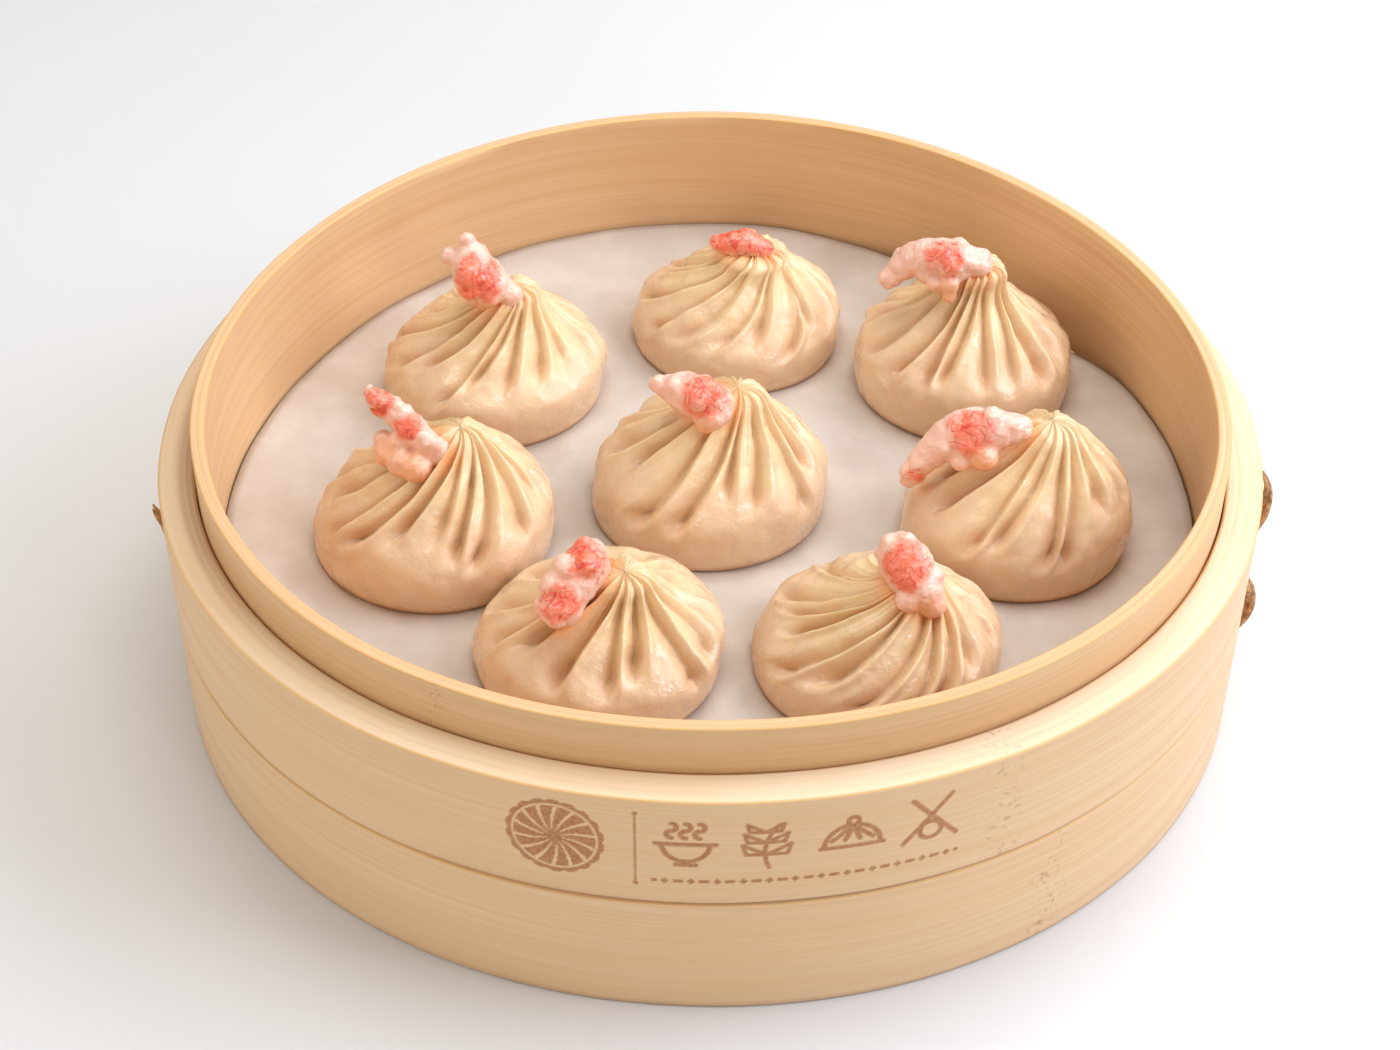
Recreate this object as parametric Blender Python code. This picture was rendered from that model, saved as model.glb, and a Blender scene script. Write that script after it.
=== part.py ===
"""Bamboo steamer basket with a paper liner and eight soup dumplings.

Metres, +Z up. The origin lies on the table under the middle of the basket's
bounding box, and every piece is parented to an empty on the hoops' axis.
Every separate piece is one closed body of its own.
"""

import math
import random

import bpy
import bmesh
from mathutils import Vector
from mathutils.bvhtree import BVHTree

MM = 0.001

# ---- basket hoops -----------------------------------------------------------
BAND_OUTER_R = 112.0 * MM      # outside of both outer bands
BAND_INNER_R = 104.7 * MM      # inside of both outer bands
WALL_OUTER_R = 104.4 * MM      # thin inner hoop, outside
WALL_INNER_R = 101.7 * MM      # thin inner hoop, inside
RIM_Z = 64.8 * MM              # top edge of the inner hoop
WALL_FOOT_Z = 12.0 * MM        # bottom edge of the inner hoop, above the recess
BAND_TOP_Z = 54.5 * MM         # top of the upper outer band
SEAM_Z = 28.5 * MM             # underside of the upper outer band
SEAM_GAP = 0.3 * MM
LOBE = 0.0107                  # out-of-roundness of the bent hoops
LOBE_COUNT = 3
CENTRE_SHIFT_Y = -1.2 * MM     # brings the uneven hoops' box onto the origin
HOOP_SEGMENTS = 60
MIDDLE = "hoop_middle"         # the empty that every piece is placed from
SHARP_ANGLE = math.radians(35.0)

# ---- slatted floor ----------------------------------------------------------
LEDGE_OUTER_R = 101.4 * MM
LEDGE_INNER_R = 97.5 * MM
LEDGE_FOOT_Z = 14.0 * MM
LEDGE_TOP_Z = 29.3 * MM
LEDGE_SEGMENTS = 48
SLAT_COUNT = 9
SLAT_PITCH = 21.0 * MM
SLAT_WIDTH = 17.0 * MM
SLAT_END_R = 99.8 * MM
SLAT_FOOT_Z = 29.6 * MM
SLAT_TOP_Z = 32.1 * MM
BAR_OFFSETS = (-42.0 * MM, 42.0 * MM)
BAR_WIDTH = 12.0 * MM
BAR_HEIGHT = 6.0 * MM
BAR_END_R = 95.8 * MM

# ---- paper liner ------------------------------------------------------------
PAPER_FOOT_Z = 32.4 * MM
PAPER_THICKNESS = 0.6 * MM
PAPER_R = 99.4 * MM
PAPER_FLAT_SHARE = 0.93        # share of the radius that lies flat
PAPER_SEGMENTS = 48
PAPER_DENT = 6.5 * MM          # where the cut edge stands away from the wall
PAPER_DENT_AT = math.radians(45.0)
PAPER_DENT_SPREAD = math.radians(15.0)
PAPER_LIFT = 2.2 * MM          # how far the edge climbs the wall at the back
PAPER_LIFT_AT = math.radians(100.0)
PAPER_LIFT_SPREAD = math.radians(34.0)

# ---- dumplings --------------------------------------------------------------
FOOD_Z = 33.3 * MM             # underside of the dough, just clear of the paper
RING_VERTICES_PER_PLEAT = 2
# share of the height, share of the radius, share of the pleat depth
DOUGH_PROFILE = (
    (0.00, 0.86, 0.00),
    (0.06, 0.95, 0.00),
    (0.18, 1.00, 0.05),
    (0.34, 0.965, 0.25),
    (0.50, 0.85, 0.65),
    (0.65, 0.665, 1.00),
    (0.78, 0.475, 1.15),
    (0.89, 0.335, 1.20),
    (1.00, 0.235, 1.10),
)
MOUTH_DEPTH = 1.6 * MM         # the gathered middle is a little sunk
LUMP_2 = 0.018                 # slow unevenness of the outline, two waves
LUMP_3 = 0.012                 # and three waves
FOLD_SHARP_ANGLE = math.radians(80.0)
TOPPING_GAP = 0.5 * MM         # clearance of the topping over the dough
TOPPING_PASSES = 40
SAMPLE_STEPS = 4               # how finely each facet's clearance is tried
TOPPING_SIDES = 8
TOPPING_FLATNESS = 0.9
TOPPING_LUMP = 0.14

# ---- cane ties --------------------------------------------------------------
TIE_CLEARANCE = 0.3 * MM
TIE_SIDES = 6
TIE_REACH = 2.97               # stand-off of the left tie's loose end, mm


class Dumpling:
    """One pleated dumpling and the crab meat gathered on its crown."""

    def __init__(self, number, centre, radius, height, crown, pleats, swirl,
                 depth, meat):
        """Keep the sizes of one dumpling.

        centre and crown are (x, y) in mm, the crown measured from the centre.
        swirl is the turn of the pleats in degrees between belly and crown and
        depth the pleat depth as a share of the radius. meat lists stations
        (x, y, height, half thickness) in mm along the topping's middle.
        """
        self.number = number
        self.centre = Vector((centre[0] * MM, centre[1] * MM, FOOD_Z))
        self.radius = radius * MM
        self.height = height * MM
        self.crown = Vector((crown[0] * MM, crown[1] * MM, 0.0))
        self.pleats = pleats
        self.swirl = math.radians(swirl)
        self.depth = depth
        self.meat = meat


DUMPLINGS = (
    Dumpling(1, (-49.0, 38.4), 24.8, 26.0, (5.3, 1.0), 18, 55, 0.075,
             ((3.1, -2, 27, 3.6), (-1.4, -1.5, 30.0, 6.0),
              (-3.2, 0, 33.4, 4.4), (-3.9, 1, 37.4, 2.2))),
    Dumpling(2, (5.6, 59.4), 24.0, 22.5, (4.0, 1.0), 17, 60, 0.075,
             ((-4.4, 0.5, 23.8, 2.1), (1.2, 0, 24.4, 3.4),
              (6.2, 0, 22.8, 2.5))),
    Dumpling(3, (56.2, 41.3), 24.0, 31.5, (1.5, 1.5), 18, 30, 0.085,
             ((1.5, 0, 31.5, 3.8), (-6.5, -0.9, 33.6, 4.9),
              (-12.5, 0.3, 32.4, 4.1), (-16.9, 0, 28.2, 2.8))),
    Dumpling(4, (-57.1, -15.6), 24.4, 28.5, (6.8, 0.5), 19, 40, 0.080,
             ((5.1, -4, 25.5, 2.4), (1.1, -3, 28, 3.4), (-3.4, -1, 31, 3.4),
              (-7.9, 1, 34, 2.6), (-10.9, 2, 36.5, 1.6))),
    Dumpling(5, (-0.8, -2.0), 24.4, 28.5, (6.6, 1.6), 18, 25, 0.085,
             ((2.0, -2.5, 27.3, 4.2), (-1.6, -2.4, 28.8, 5.2),
              (-6.4, -0.4, 29.2, 3.6), (-9.6, 0.3, 30.2, 2.3))),
    Dumpling(6, (63.0, -11.5), 23.3, 28.0, (5.8, 1.5), 18, 30, 0.080,
             ((-1, 0, 26.9, 3.4), (-6.5, -1, 27.4, 4.7),
              (-12.6, -1.2, 26.6, 5.2), (-18.1, -2, 22.8, 3.7),
              (-21.4, -2.5, 18.4, 3.0), (-22.4, -2.5, 15.6, 2.0))),
    Dumpling(7, (-21.5, -51.2), 24.2, 23.5, (5.5, -2.0), 17, 20, 0.075,
             ((-0.7, 0.5, 25.6, 3.6), (-2.2, -3, 25.6, 5.2),
              (-4.8, -6.6, 23.4, 5.1), (-6.9, -9.4, 20.8, 4.0))),
    Dumpling(8, (32.0, -50.8), 23.8, 22.5, (7.2, -1.5), 17, 70, 0.075,
             ((3.4, 2, 25.6, 4.0), (5.6, -1.4, 25.1, 5.7),
              (8.4, -4.9, 21.8, 4.5))),
)


def lobe(angle):
    """Radius factor of the slightly three-cornered bent hoops."""
    return 1.0 - LOBE * math.sin(LOBE_COUNT * angle)


def material(name, colour, roughness):
    """Return a Principled material with the given base colour."""
    made = bpy.data.materials.new(name)
    made.use_nodes = True
    shader = made.node_tree.nodes["Principled BSDF"]
    shader.inputs["Base Color"].default_value = (*colour, 1.0)
    shader.inputs["Roughness"].default_value = roughness
    made.diffuse_color = (*colour, 1.0)
    return made


def add_body(name, points, faces, finish, place, sharp=SHARP_ANGLE):
    """Make one closed mesh object, its faces turned outwards.

    The points are measured from place, a point measured from the middle of
    the hoops.
    """
    mesh = bpy.data.meshes.new(name)
    mesh.from_pydata([tuple(p) for p in points], [], faces)
    body = bmesh.new()
    body.from_mesh(mesh)
    bmesh.ops.triangulate(body, faces=body.faces)
    bmesh.ops.recalc_face_normals(body, faces=body.faces)
    if body.calc_volume(signed=True) < 0.0:
        bmesh.ops.reverse_faces(body, faces=body.faces)
    body.to_mesh(mesh)
    body.free()
    mesh.shade_smooth()
    mesh.set_sharp_from_angle(angle=sharp)
    mesh.materials.append(finish)
    thing = bpy.data.objects.new(name, mesh)
    bpy.context.scene.collection.objects.link(thing)
    thing.parent = bpy.data.objects[MIDDLE]
    thing.location = place
    return thing


def add_hoop(name, inner, outer, foot, top, segments, finish):
    """Make a closed hoop of rectangular section."""
    points, faces = [], []
    height = top - foot
    for i in range(segments):
        angle = math.tau * i / segments
        for radius, z in ((outer, 0.0), (outer, height), (inner, height),
                          (inner, 0.0)):
            r = radius * lobe(angle)
            points.append((r * math.cos(angle), r * math.sin(angle), z))
    for i in range(segments):
        a, b = 4 * i, 4 * ((i + 1) % segments)
        for k in range(4):
            m = (k + 1) % 4
            faces.append((a + k, b + k, b + m, a + m))
    return add_body(name, points, faces, finish, (0.0, 0.0, foot))


def add_prism(name, outline, height, finish, place):
    """Make an upright prism on a convex outline of (x, y) points."""
    count = len(outline)
    points = [(x, y, 0.0) for x, y in outline]
    points += [(x, y, height) for x, y in outline]
    faces = [tuple(reversed(range(count))), tuple(range(count, 2 * count))]
    for i in range(count):
        j = (i + 1) % count
        faces.append((i, j, count + j, count + i))
    return add_body(name, points, faces, finish, place)


def add_floor(finish):
    """Make the floor: ledge, two cross bars and the row of slats on them."""
    add_hoop("floor_ledge", LEDGE_INNER_R, LEDGE_OUTER_R, LEDGE_FOOT_Z,
             LEDGE_TOP_Z, LEDGE_SEGMENTS, finish)
    for number, x in enumerate(BAR_OFFSETS, start=1):
        half = BAR_WIDTH / 2
        far = math.sqrt(BAR_END_R ** 2 - (abs(x) + half) ** 2)
        add_prism(f"floor_bar_{number}",
                  ((-half, -far), (half, -far), (half, far), (-half, far)),
                  BAR_HEIGHT, finish, (x, 0.0, LEDGE_TOP_Z - BAR_HEIGHT))
    for i in range(SLAT_COUNT):
        y = (i - (SLAT_COUNT - 1) / 2) * SLAT_PITCH
        half = SLAT_WIDTH / 2
        x_low = math.sqrt(SLAT_END_R ** 2 - (y - half) ** 2)
        x_high = math.sqrt(SLAT_END_R ** 2 - (y + half) ** 2)
        add_prism(f"floor_slat_{i + 1}",
                  ((-x_low, -half), (x_low, -half), (x_high, half),
                   (-x_high, half)),
                  SLAT_TOP_Z - SLAT_FOOT_Z, finish, (0.0, y, SLAT_FOOT_Z))


def angle_bump(angle, at, spread):
    """Smooth bump of height one around an angle."""
    away = math.remainder(angle - at, math.tau)
    return math.exp(-(away / spread) ** 2)


def add_liner(finish):
    """Make the round paper: flat in the middle, its edge up the back wall."""
    n = PAPER_SEGMENTS
    points = [(0.0, 0.0, 0.0), (0.0, 0.0, PAPER_THICKNESS)]
    for i in range(n):
        angle = math.tau * i / n
        edge = PAPER_R * lobe(angle)
        edge -= PAPER_DENT * angle_bump(angle, PAPER_DENT_AT,
                                        PAPER_DENT_SPREAD)
        lift = PAPER_LIFT * angle_bump(angle, PAPER_LIFT_AT,
                                       PAPER_LIFT_SPREAD)
        for radius, rise in ((PAPER_FLAT_SHARE * edge, 0.0), (edge, lift)):
            x, y = radius * math.cos(angle), radius * math.sin(angle)
            points.append((x, y, rise))
            points.append((x, y, PAPER_THICKNESS + rise))
    faces = []
    for i in range(n):
        a, b = 2 + 4 * i, 2 + 4 * ((i + 1) % n)
        faces += [(0, b, a), (1, a + 1, b + 1),
                  (a, b, b + 2, a + 2), (a + 1, a + 3, b + 3, b + 1),
                  (a + 2, b + 2, b + 3, a + 3)]
    return add_body("paper_liner", points, faces, finish,
                    (0.0, 0.0, PAPER_FOOT_Z))


def add_dough(item, finish):
    """Make one dumpling: a bellied body whose pleats swirl up to the crown."""
    rng = random.Random(item.number)
    phase_2, phase_3, start = (rng.uniform(0.0, math.tau) for _ in range(3))
    around = RING_VERTICES_PER_PLEAT * item.pleats
    weights = [rng.uniform(0.6, 1.35) for _ in range(item.pleats)]
    points, faces = [], []
    for share_z, share_r, share_depth in DOUGH_PROFILE:
        turn = start + item.swirl * share_z ** 1.6
        middle = item.crown * share_z ** 1.5
        fade = 1.0 - 0.6 * share_z
        for k in range(around):
            angle = math.tau * k / around + turn
            ridge = 0.5 if k % 2 == 0 else -0.5
            weight = weights[k // 2]
            radius = share_r
            radius += fade * LUMP_2 * math.sin(2 * angle + phase_2)
            radius += fade * LUMP_3 * math.sin(3 * angle + phase_3)
            radius += ridge * 2.0 * item.depth * share_depth * weight \
                * (0.35 + 0.65 * share_r)
            radius *= item.radius
            points.append(middle + Vector((radius * math.cos(angle),
                                           radius * math.sin(angle),
                                           share_z * item.height)))
    rings = len(DOUGH_PROFILE)
    for j in range(rings - 1):
        for k in range(around):
            m = (k + 1) % around
            a, b = j * around, (j + 1) * around
            faces.append((a + k, a + m, b + m, b + k))
    foot, mouth = len(points), len(points) + 1
    points.append(Vector())
    points.append(item.crown + Vector((0.0, 0.0, item.height - MOUTH_DEPTH)))
    last = (rings - 1) * around
    for k in range(around):
        m = (k + 1) % around
        faces.append((foot, m, k))
        faces.append((mouth, last + k, last + m))
    return add_body(f"dumpling_{item.number}", points, faces, finish,
                    item.centre, FOLD_SHARP_ANGLE)


def sweep(stations, sides, rng, flatness, lump):
    """Sweep a lumpy oval along stations of (middle, half thickness)."""
    points, faces = [], []
    last = len(stations) - 1
    for i, (middle, half) in enumerate(stations):
        along = (stations[min(i + 1, last)][0]
                 - stations[max(i - 1, 0)][0]).normalized()
        side = along.cross(Vector((0.0, 0.0, 1.0))).normalized()
        over = side.cross(along).normalized()
        for k in range(sides):
            angle = math.tau * k / sides
            r = half * (1.0 + rng.uniform(-lump, lump))
            points.append(middle + side * (r * math.cos(angle))
                          + over * (flatness * r * math.sin(angle)))
    for i in range(last):
        a, b = i * sides, (i + 1) * sides
        for k in range(sides):
            m = (k + 1) % sides
            faces.append((a + k, a + m, b + m, b + k))
    faces.append(tuple(reversed(range(sides))))
    faces.append(tuple(range(last * sides, (last + 1) * sides)))
    return points, faces


def lift_clear(points, faces, below):
    """Raise points until no facet comes near the surface below it."""
    down = Vector((0.0, 0.0, -1.0))
    triangles = [(f[0], f[i], f[i + 1]) for f in faces
                 for i in range(1, len(f) - 1)]
    shares = [(i / SAMPLE_STEPS, j / SAMPLE_STEPS)
              for i in range(SAMPLE_STEPS + 1)
              for j in range(SAMPLE_STEPS + 1 - i)]
    for _ in range(TOPPING_PASSES):
        moved = False
        for a, b, c in triangles:
            lack = 0.0
            for s, t in shares:
                spot = points[a] * (1.0 - s - t) + points[b] * s \
                    + points[c] * t
                hit = below.ray_cast(spot - down, down)[0]
                if hit is not None:
                    lack = max(lack, hit.z + TOPPING_GAP - spot.z)
            if lack > 0.0:
                moved = True
                for k in (a, b, c):
                    points[k] = points[k] - down * lack
        if not moved:
            return


def add_meat(item, dough, finish):
    """Make the crab meat on one crown, laid clear of the dough under it."""
    rng = random.Random(100 + item.number)
    stations = [(Vector((x * MM, y * MM, z * MM)), half * MM)
                for x, y, z, half in item.meat]
    points, faces = sweep(stations, TOPPING_SIDES, rng, TOPPING_FLATNESS,
                          TOPPING_LUMP)
    below = BVHTree.FromPolygons([v.co.copy() for v in dough.data.vertices],
                                 [tuple(p.vertices)
                                  for p in dough.data.polygons])
    lift_clear(points, faces, below)
    return add_body(f"crab_topping_{item.number}", points, faces, finish,
                    item.centre, FOLD_SHARP_ANGLE)


def add_tie(name, angle, stations, width, finish):
    """Make one cane tie on the outside of the bands.

    stations are (height, stand-off, half thickness) in mm along the cane,
    the stand-off measured from the face of the bands.
    """
    outward = Vector((math.cos(angle), math.sin(angle), 0.0))
    across = Vector((-math.sin(angle), math.cos(angle), 0.0))
    foot = stations[0][0]
    place = outward * (BAND_OUTER_R * lobe(angle) + TIE_CLEARANCE)
    place.z = foot * MM
    points, faces = [], []
    for z, stand_off, half in stations:
        middle = outward * ((stand_off + half) * MM)
        middle.z = (z - foot) * MM
        for k in range(TIE_SIDES):
            turn = math.tau * k / TIE_SIDES
            points.append(middle + outward * (half * MM * math.cos(turn))
                          + across * (width * MM / 2 * math.sin(turn)))
    last = len(stations) - 1
    for i in range(last):
        a, b = i * TIE_SIDES, (i + 1) * TIE_SIDES
        for k in range(TIE_SIDES):
            m = (k + 1) % TIE_SIDES
            faces.append((a + k, a + m, b + m, b + k))
    faces.append(tuple(reversed(range(TIE_SIDES))))
    faces.append(tuple(range(last * TIE_SIDES, (last + 1) * TIE_SIDES)))
    return add_body(name, points, faces, finish, place)


def build():
    """Build the whole basket with its food."""
    for thing in list(bpy.data.objects):
        bpy.data.objects.remove(thing, do_unlink=True)
    middle = bpy.data.objects.new(MIDDLE, None)
    middle.location = (0.0, CENTRE_SHIFT_Y, 0.0)
    bpy.context.scene.collection.objects.link(middle)
    bamboo = material("bamboo", (0.76, 0.55, 0.31), 0.55)
    paper = material("baking_paper", (0.78, 0.72, 0.68), 0.7)
    dough = material("steamed_dough", (0.80, 0.62, 0.42), 0.35)
    meat = material("crab_meat", (0.90, 0.45, 0.36), 0.35)
    cane = material("cane", (0.45, 0.25, 0.12), 0.6)

    add_hoop("inner_hoop", WALL_INNER_R, WALL_OUTER_R, WALL_FOOT_Z, RIM_Z,
             HOOP_SEGMENTS, bamboo)
    add_hoop("upper_band", BAND_INNER_R, BAND_OUTER_R, SEAM_Z, BAND_TOP_Z,
             HOOP_SEGMENTS, bamboo)
    add_hoop("lower_band", BAND_INNER_R, BAND_OUTER_R, 0.0,
             SEAM_Z - SEAM_GAP, HOOP_SEGMENTS, bamboo)
    add_floor(bamboo)
    add_liner(paper)
    for item in DUMPLINGS:
        body = add_dough(item, dough)
        add_meat(item, body, meat)
    add_tie("cane_tie_right_upper", math.radians(-8.0),
            ((37.0, 0.0, 0.5), (39.5, 0.7, 0.8), (44.0, 1.1, 1.0),
             (49.0, 0.9, 0.9), (52.5, 0.0, 0.5)), 3.6, cane)
    add_tie("cane_tie_right_lower", math.radians(-8.0),
            ((10.0, 0.0, 0.5), (13.0, 0.9, 0.9), (17.5, 1.6, 1.1),
             (22.0, 1.2, 1.0), (26.0, 0.0, 0.5)), 3.6, cane)
    add_tie("cane_tie_left", math.radians(187.0),
            ((24.0, 0.0, 0.5), (27.0, 0.3, 0.7), (31.0, 0.4, 0.8),
             (35.0, 0.6, 0.9), (38.0, 2.2, 0.6), (39.5, TIE_REACH, 0.3)), 3.2,
            cane)


build()
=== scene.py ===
"""Looks of a bamboo steamer basket with a paper liner and eight soup dumplings.

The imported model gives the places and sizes; every visible piece is made here
in finer mesh and dressed in procedural finishes.
"""

import enum
import logging
import math
from dataclasses import dataclass
from typing import Optional, Sequence

import bpy
import numpy as np
from mathutils import Matrix, Vector, noise

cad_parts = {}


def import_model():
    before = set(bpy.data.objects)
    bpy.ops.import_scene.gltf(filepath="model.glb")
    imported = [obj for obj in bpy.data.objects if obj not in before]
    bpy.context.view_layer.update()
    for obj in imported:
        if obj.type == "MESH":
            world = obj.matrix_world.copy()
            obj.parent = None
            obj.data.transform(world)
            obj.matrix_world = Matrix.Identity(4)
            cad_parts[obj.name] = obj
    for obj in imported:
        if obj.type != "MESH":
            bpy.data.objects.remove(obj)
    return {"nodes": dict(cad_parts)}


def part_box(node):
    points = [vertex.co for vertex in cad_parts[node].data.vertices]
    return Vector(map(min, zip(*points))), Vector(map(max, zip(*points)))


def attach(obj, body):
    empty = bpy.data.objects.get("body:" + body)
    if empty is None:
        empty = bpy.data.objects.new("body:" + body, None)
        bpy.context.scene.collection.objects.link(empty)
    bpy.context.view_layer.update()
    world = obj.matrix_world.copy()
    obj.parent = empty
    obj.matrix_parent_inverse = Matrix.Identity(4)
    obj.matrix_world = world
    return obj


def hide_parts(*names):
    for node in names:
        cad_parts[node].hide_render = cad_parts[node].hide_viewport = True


MM = 0.001
BODY = "root"
CENTRE_Y = -1.2 * MM           # the hoops' axis, seen from the frame's origin
LOBE = 0.0107                  # out-of-roundness of the bent hoops
LOBE_COUNT = 3
CURVE_STEPS = 24               # points drawn between two knots of a curve
FRONT = -math.pi / 2           # the angle of the side that faces the viewer

Colour = tuple[float, float, float]
log = logging.getLogger("steamer")


def srgb(red: float, green: float, blue: float) -> Colour:
    """Turn a display colour into the linear one that shaders take.

    Args:
        red: Red, 0 to 255.
        green: Green, 0 to 255.
        blue: Blue, 0 to 255.

    Returns:
        The linear colour.
    """
    def line(value: float) -> float:
        """Linear share of one channel.

        Args:
            value: The channel, 0 to 255.

        Returns:
            Its linear share.
        """
        share = value / 255.0
        if share <= 0.04045:
            return share / 12.92
        return ((share + 0.055) / 1.055) ** 2.4

    return line(red), line(green), line(blue)


def lobe(angle: np.ndarray) -> np.ndarray:
    """Radius factor of the slightly three-cornered hoops at an angle.

    Args:
        angle: Angles around the basket.

    Returns:
        One factor for each.
    """
    return 1.0 - LOBE * np.sin(LOBE_COUNT * angle)


def smoothstep(low: float, high: float, value: np.ndarray) -> np.ndarray:
    """Smooth ramp from 0 at low to 1 at high."""
    share = np.clip((value - low) / (high - low), 0.0, 1.0)
    return share * share * (3.0 - 2.0 * share)


def bell(away: np.ndarray, width: float) -> np.ndarray:
    """Bell curve: 1 where away is zero, fading over a width."""
    return np.exp(-(away / width) ** 2)


def angle_away(angle: np.ndarray, at: float) -> np.ndarray:
    """Signed angle from at to angle, between -pi and pi."""
    return (angle - at + math.pi) % math.tau - math.pi


def smooth_curve(points: Sequence[Sequence[float]], steps: int) -> np.ndarray:
    """Draw a smooth line through points, evenly spaced along its length.

    Args:
        points: The points it passes through.
        steps: How many points to return.

    Returns:
        An array with one row for each point of the line.
    """
    knots = np.asarray(points, dtype=float)
    padded = np.vstack([2 * knots[0] - knots[1], knots,
                        2 * knots[-1] - knots[-2]])
    share = np.linspace(0.0, 1.0, CURVE_STEPS, endpoint=False)[:, None]
    rows = []
    for k in range(1, len(padded) - 2):
        a, b, c, d = padded[k - 1:k + 3]
        rows.append(0.5 * (2 * b + (c - a) * share
                           + (2 * a - 5 * b + 4 * c - d) * share ** 2
                           + (3 * b - a - 3 * c + d) * share ** 3))
    line = np.vstack(rows + [knots[-1:]])
    run = np.concatenate([[0.0], np.cumsum(
        np.linalg.norm(np.diff(line, axis=0), axis=1))])
    even = np.linspace(0.0, run[-1], steps)
    return np.stack([np.interp(even, run, line[:, k])
                     for k in range(line.shape[1])], axis=1)


def ring_noise(angle: np.ndarray, waves: Sequence[int],
               rng: np.random.Generator) -> np.ndarray:
    """Sum of sine waves that closes around a ring, between about -1 and 1.

    Args:
        angle: Angles around the ring.
        waves: How often each sine goes up and down around the ring.
        rng: Source of each sine's phase and strength.

    Returns:
        One value for each angle.
    """
    total = np.zeros_like(angle)
    for count in waves:
        total += np.sin(count * angle + rng.uniform(0.0, math.tau)) \
            * rng.uniform(0.6, 1.0)
    return total / len(waves)


def lumps(points: np.ndarray, scale: float, seed: float) -> np.ndarray:
    """Soft three-dimensional noise at points, between about -1 and 1.

    Args:
        points: Rows of x, y, z in metres.
        scale: Size of one lump in metres.
        seed: Shift that picks another part of the noise.

    Returns:
        One value for each point.
    """
    shift = Vector((seed, seed * 1.7, -seed * 0.6))
    flat = points.reshape(-1, 3) / scale
    values = [noise.noise(Vector(p) + shift) for p in flat.tolist()]
    return np.array(values).reshape(points.shape[:-1])


def store(mesh: bpy.types.Mesh, values: dict[str, np.ndarray]) -> None:
    """Write named float values on a mesh's points.

    Args:
        mesh: The mesh.
        values: Named values, one for each point.
    """
    for key, value in values.items():
        layer = mesh.attributes.new(key, "FLOAT", "POINT")
        even = np.ascontiguousarray(value, dtype=np.float32)
        layer.data.foreach_set("value", even.ravel())


def placed(name: str, data: bpy.types.ID) -> bpy.types.Object:
    """Put a new object in the scene, at the origin.

    Args:
        name: The object's name.
        data: The mesh, light or camera that it shows.

    Returns:
        The new object.
    """
    made = bpy.data.objects.new(name, data)
    bpy.context.scene.collection.objects.link(made)
    return made


def make_piece(name: str, points: np.ndarray, faces: list,
               finish: bpy.types.Material,
               values: Optional[dict[str, np.ndarray]] = None
               ) -> bpy.types.Object:
    """Make a smooth mesh object in place, with float values on its points.

    Args:
        name: The object's name.
        points: Rows of x, y, z in metres.
        faces: Point numbers of each face.
        finish: Its material.
        values: Named values, one for each point.

    Returns:
        The new object, at the origin.
    """
    mesh = bpy.data.meshes.new(name)
    mesh.from_pydata(points.reshape(-1, 3).tolist(), [], faces)
    store(mesh, values or {})
    mesh.materials.append(finish)
    mesh.shade_smooth()
    mesh.update()
    return placed(name, mesh)


def grid_faces(rows: int, columns: int, close_rows: bool = False) -> list:
    """Faces of a grid whose columns close around a ring.

    Args:
        rows: Number of rings.
        columns: Points in each ring.
        close_rows: True to join the last ring to the first.

    Returns:
        Four point numbers for each face.
    """
    last = rows if close_rows else rows - 1
    j, k = np.meshgrid(np.arange(last), np.arange(columns), indexing="ij")
    below, above = j * columns, ((j + 1) % rows) * columns
    right = (k + 1) % columns
    quads = np.stack([below + k, below + right, above + right, above + k],
                     axis=-1)
    return quads.reshape(-1, 4).tolist()


def tube_faces(rows: int, columns: int, start: int = 0) -> list:
    """Faces of a tube of rings with one face over each end.

    Args:
        rows: Number of rings.
        columns: Points in each ring.
        start: Number of the tube's first point.

    Returns:
        Point numbers of each face.
    """
    sides = np.array(grid_faces(rows, columns)) + start
    tail = start + (rows - 1) * columns
    return sides.tolist() + [list(range(start, start + columns))[::-1],
                             list(range(tail, tail + columns))]


def applied(piece: bpy.types.Object) -> bpy.types.Object:
    """Turn a piece with modifiers into a plain mesh of the same name.

    Args:
        piece: The object.

    Returns:
        The same object.
    """
    graph = bpy.context.evaluated_depsgraph_get()
    mesh = bpy.data.meshes.new_from_object(piece.evaluated_get(graph))
    old = piece.data
    piece.modifiers.clear()
    piece.data = mesh
    bpy.data.meshes.remove(old)
    return piece


def settle(piece: bpy.types.Object, slot: str, *nodes: str) -> None:
    """Let a piece ride on the body and stand for its solids.

    Args:
        piece: The finished piece.
        slot: Its colour slot; not used.
        nodes: The CAD nodes that it stands for.
    """
    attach(piece, BODY)
    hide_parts(*nodes)
    log.info("%s: %d faces", piece.name, len(piece.data.polygons))


# ---------------------------------------------------------------- shader kit


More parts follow.
